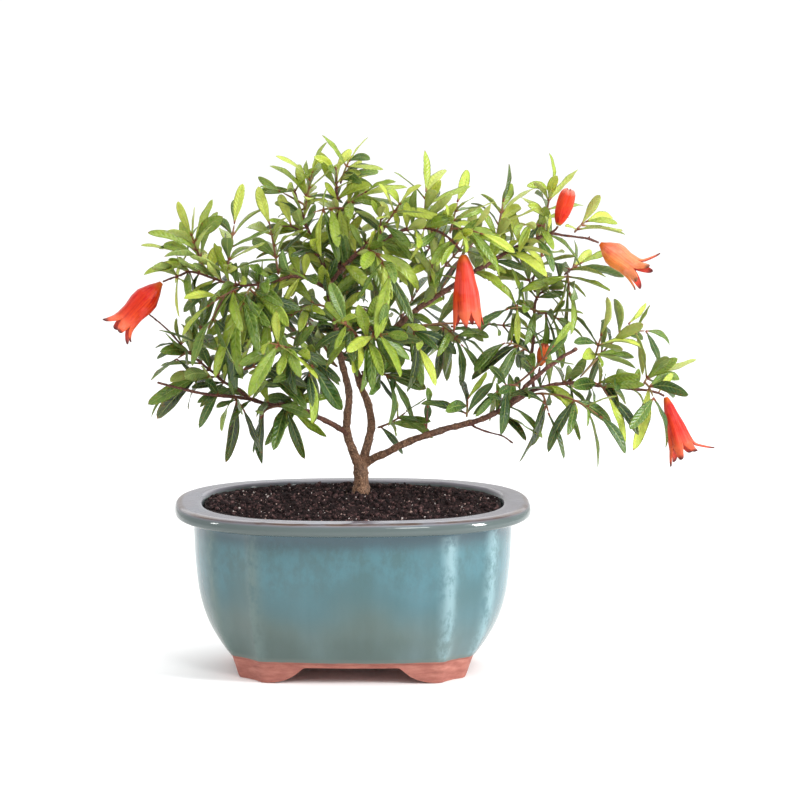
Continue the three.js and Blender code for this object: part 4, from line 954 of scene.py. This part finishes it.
def glaze_material():
    """Running blue-green glaze, brown on its outer edge, that stops above bare clay."""
    shader = Shader("glaze", IOR=1.5)
    place = shader.place()
    crease, reach, height = shader.attribute("glaze")
    sideways = shader.add("SeparateXYZ", {0: place}).outputs[0]
    runs = shader.noise(shader.scaled(place, (1, 1, 0.2)), 60, 3, 0.5)
    cloud = shader.noise(place, 15, 2, 0.5)
    mottle = shader.noise(shader.scaled(place, (1, 1, 0.6)), 150, 4, 0.7)
    speck = shader.noise(place, 1500, 3, 0.7)
    blend = shader.plus(shader.times(runs, 0.35), shader.times(cloud, 0.65))
    # The glaze is painted bluer and brighter towards the right: painted light and reflection from the
    # lamps on the right.
    lit_right_side = shader.span(sideways, CENTRE.x - 0.07, CENTRE.x + 0.08)
    left = shader.ramp(blend, [
        (0.36, (60, 88, 88)),
        (0.5, (64, 94, 98)),
        (0.64, (70, 102, 108)),
    ])
    right = shader.ramp(blend, [
        (0.36, (55, 89, 92)),
        (0.5, (59, 95, 101)),
        (0.64, (71, 108, 117)),
    ])
    blue = shader.mix(lit_right_side, left, right)
    grey = shader.ramp(blend, [
        (0.36, (74, 90, 86)),
        (0.5, (82, 100, 97)),
        (0.64, (92, 112, 114)),
    ])
    level = shader.plus(height, shader.times(shader.math("SUBTRACT", cloud, 0.5), 60))
    color = shader.mix(shader.span(level, 26, 56), grey, blue)
    bright = shader.times(shader.span(level, 50, 68), shader.span(level, 88, 74))
    bright = shader.times(bright, shader.span(mottle, 0.35, 0.65, 0.05, 0.5))
    color = shader.mix(bright, color, (70, 118, 130))
    # Darker grey-blue below the lip, from 76 to 88 mm up: painted shadow of the lip.
    color = shader.mix(shader.span(height, 76, 88, 0, 0.7), color, (62, 80, 92))
    color = shader.mix(shader.span(speck, 0.58, 0.72, 0, 0.16), color, (110, 120, 104))
    color = shader.mix(shader.span(speck, 0.42, 0.28, 0, 0.2), color, (50, 82, 92))
    # The glaze breaks paler on the creases, and on the right side far brighter: a painted highlight
    # from the light on the right.
    pale = shader.mix(lit_right_side, (94, 112, 108), (136, 166, 172))
    crease_break_and_light = shader.times(crease, shader.span(mottle, 0.35, 0.6, 0.2, 0.75))
    color = shader.mix(crease_break_and_light, color, pale)
    lip = shader.span(height, 89.2, 90.6)
    color = shader.mix(shader.times(lip, 0.75), color, (84, 92, 88))
    # The lavender-grey rim top is glaze colour with a painted reflection of the bright light above.
    rim = shader.span(height, 95.2, 97.0)
    top = shader.ramp(cloud, [
        (0.35, (100, 96, 104)),
        (0.5, (110, 108, 118)),
        (0.65, (108, 116, 128)),
    ])
    color = shader.mix(rim, color, top)
    edge = shader.times(shader.span(height, 96.1, 96.8), shader.span(height, 97.5, 97.3))
    edge = shader.times(edge, shader.span(reach, 0.93, 0.95))
    edge = shader.times(edge, shader.span(runs, 0.3, 0.6, 0.3, 0.9))
    color = shader.mix(edge, color, (82, 62, 52))

    wavy = shader.noise(shader.scaled(place, (1, 1, 0)), 60, 3)
    end = shader.plus(height, shader.times(shader.math("SUBTRACT", wavy, 0.5), 1.6))
    line = POT["glaze_end"]
    bare = shader.span(end, line + 0.1, line - 0.25)
    thin = shader.span(end, line + 3.4, line, 0, 0.7)
    color = shader.mix(thin, color, (98, 108, 102))
    brushed = shader.noise(shader.scaled(place, (0.35, 0.35, 1.6)), 260, 4, 0.6)
    clay_grain = shader.noise(place, 1100, 4, 0.65)
    clay = shader.ramp(brushed, [
        (0.3, (134, 78, 68)),
        (0.5, (156, 96, 84)),
        (0.7, (174, 115, 101)),
    ])
    clay = shader.mix(shader.span(clay_grain, 0.42, 0.28, 0, 0.35), clay, (122, 70, 60))
    # Darker clay just below the glaze line, where the wall faces down: painted shade.
    clay = shader.mix(shader.span(end, line - 1.8, line, 0, 0.5), clay, (132, 78, 66))
    color = shader.mix(bare, color, clay)
    gloss = shader.plus(shader.span(speck, 0.3, 0.7, 0.07, 0.14), shader.span(height, 89, 86, 0, 0.1))
    made = shader.add("Mix", {0: bare, 2: gloss, 3: 0.82})
    shader.set("Roughness", made.outputs[0])
    ripple = shader.noise(shader.scaled(place, (1, 1, 0.5)), 90, 2)
    grit = shader.times(clay_grain, shader.times(bare, 0.4))
    pits = shader.span(shader.cells(place, 700), 0.1, 0.02, 0, -0.25)
    return shader.finish(color, shader.plus(shader.plus(ripple, grit), pits), 0.0006, 0.3)


# ---------------------------------------------------------------------- the soil

SOIL = {
    "rim": 95.8,
    "mound": 4.2,
    "reach": (84, 60),
    # Half-width, half-depth and softness at the rim, down the wall and at the base.
    "edges": ((85.0, 60.7, 0.58), (82.4, 58.0, 0.3), (66.4, 45.9, 0.5)),
    "levels": (18.0, 22.4, 54.0),  # twice at the base, then down the wall
    "rings": 120,
}


def soil_share(x, y):
    """How far out a point lies, from 0 in the middle to 1 at the edge and past it."""
    return min(1, math.hypot(x / SOIL["reach"][0], y / SOIL["reach"][1]))


def soil_height(x, y):
    """The packed soil's top: a low uneven mound, level where it meets the pot."""
    out = soil_share(x, y)
    swell = math.sin(x * 0.31 + 1.3) * math.cos(y * 0.37) + 0.6 * math.sin(x * 0.13 - y * 0.21)
    return SOIL["rim"] + SOIL["mound"] * (1 - out * out) + 1.1 * swell * (1 - out**6)


def soil_surface(x, y):
    """The same with clods and crumbs."""
    out = soil_share(x, y)
    clods = noise.fractal(Vector((x * 0.22, y * 0.22, 3)), 1.0, 2.0, 3)
    crumbs = noise.noise(Vector((x * 0.6, y * 0.6, 7))) * 0.8
    crumbs += noise.noise(Vector((x * 1.5, y * 1.5, 1))) * 0.45
    return soil_height(x, y) + (1.0 * clods + crumbs) * (1 - 0.5 * out**8) - 0.3


def build_soil(peat):
    rim, foot, base = (pot_outline(*edge) for edge in SOIL["edges"])
    bottom, shoulder, wall = SOIL["levels"]
    points = [(x, y, bottom) for x, y in base] + [(x, y, shoulder) for x, y in base]
    points += [(x, y, wall) for x, y in foot]
    for k in range(SOIL["rings"]):
        share = (1 - k / SOIL["rings"]) ** 0.8
        points += [(x * share, y * share, soil_surface(x * share, y * share)) for x, y in rim]
    faces = closed_tube(len(points) // len(rim), len(rim))
    return mesh_object("soil_bed", placed(points), faces, [peat])


def twenty_sided():
    """Corners, two apart, and faces of the twenty-sided solid that crumbs start from."""
    golden = (1 + 5**0.5) / 2
    signs = [(s, t * golden) for s in (-1, 1) for t in (-1, 1)]
    corners = [Vector((s, t, 0)) for s, t in signs]
    corners += [Vector((0, s, t)) for s, t in signs]
    corners += [Vector((t, 0, s)) for s, t in signs]
    faces = []
    for three in combinations(range(12), 3):
        a, b, c = (corners[k] for k in three)
        if max((a - b).length, (b - c).length, (a - c).length) < 2.1:
            outward = (b - a).cross(c - a).dot(a) > 0
            faces.append(three if outward else (three[0], three[2], three[1]))
    return corners, faces


LUMP_CORNERS, LUMP_FACES = twenty_sided()


def crumb(draw, size, squash):
    """The points of a small uneven lump."""
    turn = Vector((draw.random(), draw.random(), draw.random())).rotation_difference(UP)
    points = []
    for corner in LUMP_CORNERS:
        point = corner.normalized() * size * draw.uniform(0.72, 1.15)
        point.z *= squash
        points.append(turn @ point)
    return points


def build_crumbs(name, count, sizes, squash, materials, seed):
    """Loose lumps, most of them small, lying in the soil's surface."""
    draw = random.Random(seed)
    width, depth = SOIL["reach"]
    points, faces, kinds = [], [], []
    while len(kinds) < count * len(LUMP_FACES):
        x, y = draw.uniform(-width, width), draw.uniform(-depth, depth)
        out = math.hypot(x / width, y / depth)
        corner = abs(x) / width + abs(y) / depth
        if out > 0.99 and corner > 1.3 or abs(x) > width - 1 or abs(y) > depth - 1:
            continue
        size = draw.uniform(0, 1) ** 2.6 * (sizes[1] - sizes[0]) + sizes[0]
        lump = crumb(draw, size, draw.uniform(*squash))
        centre = Vector((x, y, soil_surface(x, y) + size * 0.3))
        faces += shifted(LUMP_FACES, len(points))
        points += [centre + p for p in lump]
        kinds += [draw.randrange(len(materials))] * len(LUMP_FACES)
    return mesh_object(name, placed(points), faces, materials, kinds)


def peat_material(name, dark, mid, light, pale):
    """Dark fibrous peat, with a share of paler grains."""
    shader = Shader(name, Roughness=0.95, IOR=1.3)
    place = shader.place()
    coarse = shader.noise(place, 420, 5, 0.7)
    fine = shader.noise(place, 1900, 4, 0.7)
    mixed = shader.plus(shader.times(coarse, 0.6), shader.times(fine, 0.4))
    color = shader.ramp(mixed, [(0.4, dark), (0.5, mid), (0.62, light)])
    grains = shader.span(shader.cells(place, 620), 0.13, 0.06, 0, 0.6)
    return shader.finish(shader.mix(grains, color, pale), mixed, 0.001, 1.0)


def grit_material(name, low, high):
    shader = Shader(name, Roughness=0.85)
    place = shader.place()
    color = shader.ramp(shader.noise(place, 900, 4, 0.6), [(0.35, low), (0.6, high)])
    return shader.finish(color, shader.noise(place, 2200, 3), 0.0004, 0.7)


def plastic_material():
    shader = Shader("screen plastic", Roughness=0.5)
    place = shader.place()
    stops = [(0.35, (30, 32, 32)), (0.65, (48, 50, 50))]
    color = shader.ramp(shader.noise(place, 300, 4), stops)
    return shader.finish(color, shader.noise(place, 1500, 2), 0.0002, 0.4)


# ------------------------------------------------------------------- the flowers

# Sections of a calyx tube: share of the way to the mouth, share of the mouth's radius.
TUBES = {
    "bell": [(0, 0.2), (0.05, 0.34), (0.18, 0.52), (0.4, 0.72), (0.7, 0.9), (1, 1.0)],
    "vase": [(0, 0.16), (0.07, 0.3), (0.2, 0.62), (0.4, 0.96), (0.58, 1.0), (0.8, 0.88), (1, 0.9)],
    "cone": [(0, 0.16), (0.06, 0.26), (0.2, 0.42), (0.5, 0.66), (0.8, 0.86), (1, 1.0)],
}
# Lobes, from the left round the back: length in millimetres, how far each one
# leans out at its foot, and how far more it curls by its tip.
FLOWERS = {
    "left": {
        "base": (-108.6, -16.2, 226.4), "mouth": (-128.6, -21.5, 205.6), "radius": 7.5, "tube": "vase",
        "lobes": [
            (9.5, 0.35, 0.3), (8.5, 0.3, 0.5), (10.5, 0.5, 0.2), (8.5, 0.3, 0.7),
            (9, 0.2, 0.8), (10, 0.6, 0.0),
        ],
    },
    "front": {
        "base": (63.4, -26.7, 244.4), "mouth": (65.5, -28.4, 213.4), "radius": 7.9, "tube": "bell",
        "lobes": [
            (10, 0.1, 0.1), (10, 0.0, 0.2), (10, 0.1, 0.1), (12, 0.04, 0.0),
            (10, -0.04, 0.1), (12.5, 0.08, 0.0),
        ],
    },
    "right_upper": {
        "base": (141.2, -8.6, 248.1), "mouth": (159, -13, 235.4), "radius": 7.0, "tube": "vase",
        "lobes": [
            (12, 0.4, 0.4), (11, 0.3, 0.2), (13, 0.9, 0.2), (12, 0.7, 0.3),
            (9, 0.3, 0.6), (10, 0.2, 0.3),
        ],
    },
    "right_lower": {
        "base": (179, -5.3, 158.8), "mouth": (187.7, -8.7, 133), "radius": 7.0, "tube": "cone",
        "lobes": [
            (10, 0.25, 0.3), (8, 0.2, 0.6), (14, 0.95, 0.15), (8.5, 0.35, 0.9),
            (9, 0.1, 0.3), (11.5, 0.4, -0.2),
        ],
    },
}
BUDS = {
    "top": ((117.3, -8.1, 258.7), (123.6, -9, 279), 4.8),
    "small": ((107.1, -7.9, 177.3), (110, -9, 190), 3.3),
}
# Shares of a bud's length, and of its radius there.
BUD_PROFILE = [
    (0, 0.28), (0.06, 0.46), (0.16, 0.68), (0.36, 0.92), (0.56, 1.0), (0.76, 0.97),
    (0.9, 0.86), (0.97, 0.66), (1, 0.4),
]
# Width of a lobe from its foot to its point, for each kind of tube.
LOBE_SHARES = [0, 0.12, 0.3, 0.55, 0.8, 0.93, 1]
LOBE_WIDTHS = {
    "bell": [1, 0.94, 0.8, 0.54, 0.3, 0.17, 0.06],
    "vase": [1, 0.95, 0.86, 0.72, 0.54, 0.38, 0.14],
    "cone": [1, 0.9, 0.76, 0.62, 0.5, 0.4, 0.18],
}
CALYX = {
    "lobes": 6,
    "columns": 14,  # round the tube, for each lobe
    "rows": 34,
    "cup_rows": 10,
    "lobe_rows": 18,
    "wall": 1.1,
    "thin_wall": 0.75,  # at a lobe's point
    "cup": 0.5,  # share of the tube's length that the hollow reaches down to
}
PETALS = {
    "count": 9,
    "rows": 12,
    "columns": 9,
    "foot": 0.56,  # shares of the tube's length: where petals stand, and how far they reach
    "reach": 0.44,
    "width": 0.62,  # share of the mouth's radius
    "stamens": 26,
    "stamen_foot": 0.54,
    "filament": 0.16,
    "anther": (0.55, 0.7),  # size and how flat
}
BUD_GRID = (36, 60)  # rows along a bud, columns round it


class Place:
    """A flower's own axes, with points given round, out from and along its axis."""

    def __init__(self, base, end):
        self.base = Vector(base)
        way = Vector(end) - self.base
        self.length = way.length
        self.axis = way.normalized()
        hint = Vector((0.2, 0.9, 0.3))
        self.across = hint.cross(self.axis).normalized()
        self.up = self.axis.cross(self.across)

    def out(self, angle):
        return self.across * math.cos(angle) + self.up * math.sin(angle)

    def at(self, angle, radius, along):
        return self.base + self.axis * along + self.out(angle) * radius


def build_calyx(name, materials, seed):
    """A ribbed waxy tube that opens into pointed lobes, each leaning its own way."""
    flower = FLOWERS[name]
    place = Place(flower["base"], flower["mouth"])
    draw = random.Random(seed)
    radius = flower["radius"]
    lobes, columns = CALYX["lobes"], CALYX["columns"]
    around = lobes * columns
    shares, sizes = zip(*TUBES[flower["tube"]])
    points, marks = [], []

    def outside(angle, share):
        rib = math.cos(angle * lobes + math.pi)
        lumps = noise.noise(Vector((math.cos(angle), math.sin(angle), share * 3 + seed))) * 0.05
        swell = 1 + 0.05 * rib * smooth_share(0.12, 0.9, share) + lumps
        return radius * float(np.interp(share, shares, sizes)) * swell

    def add_ring(share, wall):
        for j in range(around):
            angle = j / around * math.tau
            points.append(place.at(angle, outside(angle, share) - wall, place.length * share))
            marks.append((math.cos(angle), math.sin(angle), share))

    rows, cup_rows = CALYX["rows"], CALYX["cup_rows"]
    for i in range(rows + 1):
        add_ring((i / rows) ** 1.2, 0)
    inner_start = len(points)
    for i in range(cup_rows + 1):
        add_ring(lerp(1, CALYX["cup"], i / cup_rows), CALYX["wall"])
    faces = grid_faces(rows + 1, around, closed=True)
    faces += grid_faces(cup_rows + 1, around, inner_start, closed=True)
    faces += [list(range(around)), list(range(len(points) - around, len(points)))]
    kinds = [0] * (rows * around) + [1] * (cup_rows * around) + [0, 1]

    mouth_start = rows * around
    steps = CALYX["lobe_rows"]
    half = [(j / columns - 0.5) * math.tau / lobes for j in range(columns + 1)]
    for k, (reach, lean, curl) in enumerate(flower["lobes"]):
        middle = (k + 0.5) / lobes * math.tau
        sway = draw.uniform(-0.2, 0.2)
        along, away, side = place.length, 0.0, 0.0
        foot = float(outside(middle, 1))
        last = [mouth_start + (k * columns + j) % around for j in range(columns + 1)]
        last += [inner_start + (k * columns + j) % around for j in range(columns, -1, -1)]
        cross = place.axis.cross(place.out(middle)).normalized()
        for i in range(1, steps + 1):
            t = i / steps
            bend = lean * min(1, 3 * t) + curl * t**1.6
            along += math.cos(bend) * reach / steps
            away += math.sin(bend) * reach / steps
            side += sway * reach / steps * t
            width = float(np.interp(t, LOBE_SHARES, LOBE_WIDTHS[flower["tube"]]))
            wall = lerp(CALYX["wall"], CALYX["thin_wall"], t)
            normal = place.out(middle) * math.cos(bend) - place.axis * math.sin(bend)
            start = len(points)
            for inner, row in ((0, half), (1, half[::-1])):
                for turn in row:
                    u = turn / half[-1]
                    dish = foot * (1 - math.cos(turn)) * width + 0.4 * u * u * width
                    thick = inner * wall * (0.4 + 0.6 * math.sqrt(max(0, 1 - u * u)))
                    point = place.at(middle, foot + away, along)
                    point += cross * (foot * math.sin(turn) * width + side) - normal * (dish + thick)
                    points.append(point)
                    marks.append((math.cos(middle + turn), math.sin(middle + turn), 1 + t))
            ring = list(range(start, len(points)))
            for j in range(len(ring)):
                n = (j + 1) % len(ring)
                faces.append([last[j], last[n], ring[n], ring[j]])
                kinds.append(0 if j < columns or j == len(ring) - 1 else 1)
            last = ring
        faces.append(last)
        kinds.append(0)
    piece = mesh_object("calyx_" + name, placed(points), faces, materials, kinds)
    set_vectors(piece.data, "calyx", marks)
    return piece


def wrinkled_petal(place, angle, foot, reach, width, room, draw):
    """A thin crumpled petal as a closed sheet, kept within a room round the axis."""
    rows, columns = PETALS["rows"], PETALS["columns"]
    phase, folds = draw.uniform(0, 6), draw.uniform(2.2, 3.4)
    lean = draw.uniform(0.0, 0.25)
    points = []
    for side in (1, -1):
        for i in range(rows):
            t = i / (rows - 1)
            for j in range(columns):
                u = j / (columns - 1) * 2 - 1
                spread = width * math.sin(math.pi * (0.18 + 0.62 * t)) * u
                crumple = math.sin(folds * u * 2 + phase + 3 * t) * 0.7 * t
                top = reach * (t + 0.06 * math.sin(5 * u + phase) * t - 0.12 * u * u * t)
                radius = min(foot[0] + lean * reach * t + crumple, room(foot[1] + top) - 0.1)
                radius += side * 0.09 * (1 - abs(u)) * min(1, 4 * (1 - t))
                points.append(place.at(angle + spread / max(2.0, foot[0]), radius, foot[1] + top))
    front = grid_faces(rows, columns)
    back = grid_faces(rows, columns, rows * columns, flip=True)
    border = list(range(columns))
    border += [i * columns + columns - 1 for i in range(1, rows)]
    border += [(rows - 1) * columns + j for j in range(columns - 2, -1, -1)]
    border += [i * columns for i in range(rows - 2, 0, -1)]
    shift = rows * columns
    rim = [[b, a, a + shift, b + shift] for a, b in zip(border, border[1:] + border[:1])]
    return points, front + back + rim


def build_petals(name, materials, seed):
    """Crumpled petals standing in the mouth, with stamens among them."""
    flower = FLOWERS[name]
    radius = flower["radius"]
    place = Place(flower["base"], flower["mouth"])
    draw = random.Random(seed)
    points, faces, kinds = [], [], []

    def room(along):
        share = min(1, along / place.length)
        return radius * float(np.interp(share, *zip(*TUBES[flower["tube"]]))) * 0.93 - CALYX["wall"]

    for k in range(PETALS["count"]):
        angle = k / PETALS["count"] * math.tau + draw.uniform(-0.2, 0.2)
        foot = (radius * (0.5 if k % 2 else 0.66), place.length * PETALS["foot"])
        reach = place.length * PETALS["reach"] + draw.uniform(-1.0, 3.0)
        width = radius * PETALS["width"]
        made, sheet = wrinkled_petal(place, angle, foot, reach, width, room, draw)
        faces += shifted(sheet, len(points))
        kinds += [0] * len(sheet)
        points += made
    for _ in range(PETALS["stamens"]):
        angle, out = draw.uniform(0, math.tau), radius * draw.uniform(0.05, 0.55)
        tip = place.at(angle, out * 1.15, place.length + draw.uniform(-2.5, 2.5))
        foot = place.at(angle, out * 0.6, place.length * PETALS["stamen_foot"])
        middle = (tip + foot) / 2 + place.out(angle) * draw.uniform(-0.6, 0.6)
        ring, made = tube([foot, middle, tip], [PETALS["filament"]] * 3, 5, len(points))
        points += [Vector(p) for p in ring]
        faces += made
        kinds += [1] * len(made)
        faces += shifted(LUMP_FACES, len(points))
        kinds += [2] * len(LUMP_FACES)
        points += [tip + p for p in crumb(draw, *PETALS["anther"])]
    return mesh_object("petals_fine_" + name, placed(points), faces, materials, kinds)


def build_bud(name, material, seed):
    """A closed ribbed bud, its lobes folded to a point."""
    base, tip, radius = BUDS[name]
    place = Place(base, tip)
    shares, sizes = zip(*BUD_PROFILE)
    rows, columns = BUD_GRID
    points, marks = [], []
    for i in range(rows + 1):
        share = i / rows
        for j in range(columns):
            angle = j / columns * math.tau
            rib = abs(math.cos(angle * 3)) ** 0.5 - 0.7
            size = np.interp(share, shares, sizes) * radius
            fold = 1 + 0.2 * rib * smooth_share(0.35, 1.0, share)
            crown = 1 + 0.09 * rib * smooth_share(0.85, 1.0, share)
            lumps = 1 + 0.05 * noise.noise(Vector((math.cos(angle), math.sin(angle), share * 3 + seed)))
            twist = angle + 0.3 * share
            points.append(place.at(twist, size * fold * lumps, place.length * share * crown))
            marks.append((math.cos(angle), math.sin(angle), share * 1.9))
    piece = mesh_object("bud_fine_" + name, placed(points), closed_tube(rows + 1, columns), [material])
    set_vectors(piece.data, "calyx", marks)
    return piece


def calyx_material(name, foot, deep, body, warm, light, mouth, tip, flank_tint_and_sheen=None):
    """Waxy skin in lengthwise streaks, paler at the foot and dark at the lobes' points.

    flank_tint_and_sheen gives the flank, 1 or -1 across the flower, that turns to another colour; a
    pink one is a painted highlight on the lit flank.
    """
    shader = Shader(name, IOR=1.4, Specular_IOR_Level=0.25)
    round_and_along = shader.add("Attribute", attribute_name="calyx").outputs["Vector"]
    across, _, along = shader.add("SeparateXYZ", {0: round_and_along}).outputs
    place = shader.place()
    streaks = shader.noise(shader.scaled(round_and_along, (1, 1, 0.5)), 2.6, 4, 0.55)
    threads = shader.noise(shader.scaled(round_and_along, (1, 1, 0.12)), 11, 3, 0.6)
    fine = shader.noise(place, 900, 3, 0.6)
    blush_and_sheen = shader.noise(place, 110, 2, 0.5)
    # light is a painted pink highlight: it tops the streaks and fills the pale patches and pale
    # threads; the warm patches are the calyx's own orange.
    bands = zip((0.36, 0.45, 0.54, 0.62, 0.72), (deep, body, warm, body, light))
    color = shader.ramp(streaks, list(bands))
    color = shader.mix(shader.span(blush_and_sheen, 0.5, 0.62, 0, 0.7), color, warm)
    color = shader.mix(shader.span(blush_and_sheen, 0.5, 0.38, 0, 0.6), color, light)
    # A pink flank colour is a painted highlight on the lit side; a crimson one is the calyx's own
    # colour.
    if flank_tint_and_sheen is not None:
        flank, flank_color = flank_tint_and_sheen
        color = shader.mix(shader.span(across, -0.5 * flank, 0.8 * flank, 0, 0.55), color, flank_color)
    color = shader.mix(shader.span(threads, 0.5, 0.7, 0, 0.4), color, light)
    color = shader.mix(shader.span(threads, 0.46, 0.3, 0, 0.45), color, deep)
    color = shader.mix(shader.span(along, 0.7, 1.25, 0, 0.5), color, mouth)
    color = shader.mix(shader.span(along, 0.2, 0.02), color, foot)
    color = shader.mix(shader.span(along, 1.62, 1.95, 0, 0.9), color, tip)
    shader.set("Roughness", shader.span(fine, 0.3, 0.7, 0.28, 0.44))
    return shader.finish(color, shader.plus(threads, shader.times(fine, 0.4)), 0.0005, 0.5)


def petal_material(name, dark, light, roughness=0.55):
    shader = Shader(name, Roughness=roughness, Subsurface_Weight=0.1, Subsurface_Scale=0.002)
    place = shader.place()
    color = shader.ramp(shader.noise(place, 420, 4, 0.6), [(0.35, dark), (0.62, light)])
    return shader.finish(color, shader.noise(place, 900, 3), 0.0004, 0.6)


# -------------------------------------------------------------- building it all

glaze = glaze_material()
bark = bark_material()
stem_skin = stem_material()
leaf_top = leaf_material(
    "leaf top",
    [(26, 44, 20), (50, 78, 28), (86, 114, 36), (134, 156, 48), (176, 188, 74)],
    (146, 158, 84),
    0.24,
)
leaf_under = leaf_material(
    "leaf underside",
    [(66, 86, 50), (84, 108, 56), (110, 130, 64), (138, 154, 76), (170, 180, 96)],
    (166, 174, 106),
    0.48,
)

attach(build_pot(glaze), "glaze", "pot")
attach(build_wood(bark), "bark", "wood")

peat = peat_material("peat", (12, 8, 9), (32, 21, 22), (62, 44, 44), (132, 108, 102))
attach(build_soil(peat), "soil", "soil")
crumbs = peat_material(
    "crumbs", (28, 18, 19), (66, 46, 46), (112, 84, 82), (152, 126, 122)
)
perlite = grit_material("perlite", (150, 138, 134), (222, 210, 206))
sand = grit_material("sand", (112, 88, 80), (176, 146, 138))
LOOSE = {
    "soil_crumbs": (6400, (0.35, 1.7), (0.6, 1.0), [peat, peat, crumbs], 5),
    "soil_grit": (1100, (0.22, 0.7), (0.5, 1.0), [perlite, sand, sand, sand], 8),
    "soil_flecks": (90, (0.6, 1.1), (0.3, 0.8), [perlite, perlite, sand], 9),
}
for name, kind in LOOSE.items():
    attach(build_crumbs(name, *kind), "soil")

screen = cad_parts["drain_screen"]
screen.data.materials.clear()
screen.data.materials.append(plastic_material())

shoot_names = sorted(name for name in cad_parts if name.startswith("shoot_"))
for number, name in enumerate(shoot_names):
    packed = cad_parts[name]
    piece = build_shoot("leafy_" + name[6:], packed, [leaf_top, leaf_under, stem_skin], number)
    attach(piece, "leaf", name)
for number, name in enumerate(SPURS):
    attach(build_spurs(name, [leaf_top, leaf_under], number), "leaf")

# Foot, deep, body, warm, light, mouth and tip colours of a calyx; light is a painted pink highlight.
RED = [
    (190, 84, 24), (132, 10, 12), (180, 30, 10), (200, 60, 10),
    (206, 70, 58), (218, 112, 74), (60, 32, 32),
]
PEACH = [
    (200, 88, 20), (190, 70, 26), (204, 96, 38), (214, 124, 40),
    (222, 142, 112), (218, 130, 76), (104, 66, 50),
]
# Last in each entry is the flank colour: the pinks of the front and upper right flowers are painted
# highlights on their lit flank.
SKINS = {
    "left": calyx_material("calyx left", *RED, (1, (176, 16, 26))),
    "front": calyx_material("calyx front", *RED, (-1, (206, 66, 60))),
    "right_upper": calyx_material("calyx right upper", *PEACH, (-1, (222, 116, 100))),
    "right_lower": calyx_material("calyx right lower", *RED, (-1, (172, 18, 30))),
}
inside = calyx_material(
    "calyx inside", (140, 30, 20), (104, 12, 14), (144, 26, 18), (164, 42, 20),
    (184, 58, 46), (180, 60, 40), (66, 24, 28),
)
petal = petal_material("petal", (160, 20, 20), (214, 56, 34))
filament = petal_material("filament", (196, 52, 36), (222, 110, 60))
anther = petal_material("anther", (70, 26, 26), (150, 96, 48), 0.7)
for number, name in enumerate(FLOWERS):
    attach(build_calyx(name, [SKINS[name], inside], 11 + number), "calyx", "flower_" + name)
    attach(build_petals(name, [petal, filament, anther], 31 + number), "petal", "petals_" + name)
# The red bud's pale pink tip colour is a painted highlight on its top, and its light colour is a
# painted highlight as on the flowers.
bud_red = calyx_material(
    "bud red", (150, 110, 34), (142, 6, 10), (176, 16, 10), (200, 54, 12),
    (200, 46, 34), (206, 62, 30), (200, 122, 108),
)
bud_orange = calyx_material(
    "bud orange", (110, 96, 36), (122, 36, 16), (154, 54, 20), (176, 80, 26),
    (188, 98, 48), (168, 70, 30), (110, 50, 34),
)
attach(build_bud("top", bud_red, 3), "calyx", "bud_top")
attach(build_bud("small", bud_orange, 4), "calyx", "bud_small")

# --------------------------------------------------------------- floor and light


def studio_floor():
    """A plain pale floor, slightly uneven in tone."""
    bpy.ops.mesh.primitive_plane_add(size=80, location=(0, 0, -0.0002))
    floor = bpy.context.object
    floor.name = "floor"
    shader = Shader("floor paper", Roughness=0.9)
    tone = shader.noise(shader.place(), 3, 2)
    color = shader.ramp(tone, [(0.3, (243.5, 243.5, 243.5)), (0.7, (248.2, 248.2, 248.2))])
    shader.set("Base Color", color)
    floor.data.materials.append(shader.material)


def soft_light(name, place, aim, size, power):
    lamp = bpy.data.lights.new(name, "AREA")
    lamp.shape = "RECTANGLE"
    lamp.size, lamp.size_y = size
    lamp.energy = power
    holder = bpy.data.objects.new(name, lamp)
    bpy.context.scene.collection.objects.link(holder)
    holder.location = place
    holder.rotation_euler = (Vector(aim) - Vector(place)).to_track_quat("-Z", "Y").to_euler()


studio_floor()
# Each light's place and aim in metres, its size in metres and its power in watts.
LIGHTS = {
    "key": ((0.6, -1.5, 1.5), (0, 0, 0.15), (0.5, 0.5), 10),
    "left strip": ((-1.6, -0.3, 0.9), (0, 0, 0.1), (0.2, 0.5), 7),
    "right strip": ((1.5, -0.7, 0.8), (0, 0, 0.1), (0.35, 0.8), 33),
    "top": ((0.1, 0.2, 1.9), (0, 0, 0.1), (1.2, 1.2), 15),
    "backdrop": ((0, 6.5, 3.0), (0, 6.0, 0), (7, 5), 90),
}
for name, setting in LIGHTS.items():
    soft_light(name, *setting)

world = bpy.data.worlds.new("studio")
world.use_nodes = True
backdrop = world.node_tree.nodes["Background"]
backdrop.inputs["Color"].default_value = (1, 1, 1, 1)
backdrop.inputs["Strength"].default_value = 0.85
bpy.context.scene.world = world

CAMERA = {"distance": 5.0, "azimuth": 0.6, "elevation": 9.9, "lens": 393.0}
AIM = CENTRE + Vector((27.1, 0, 156.0)) * MM


def photo_camera():
    """A long lens from the front, a little above and a little to the right."""
    a, e = math.radians(CAMERA["azimuth"]), math.radians(CAMERA["elevation"])
    away = Vector((math.sin(a) * math.cos(e), -math.cos(a) * math.cos(e), math.sin(e)))
    camera = bpy.data.objects.new("camera", bpy.data.cameras.new("camera"))
    bpy.context.scene.collection.objects.link(camera)
    camera.data.lens = CAMERA["lens"]
    camera.data.sensor_width = 36
    camera.location = AIM + away * CAMERA["distance"]
    camera.rotation_euler = away.to_track_quat("Z", "Y").to_euler()
    bpy.context.scene.camera = camera


photo_camera()
bpy.context.scene.view_settings.view_transform = "Standard"
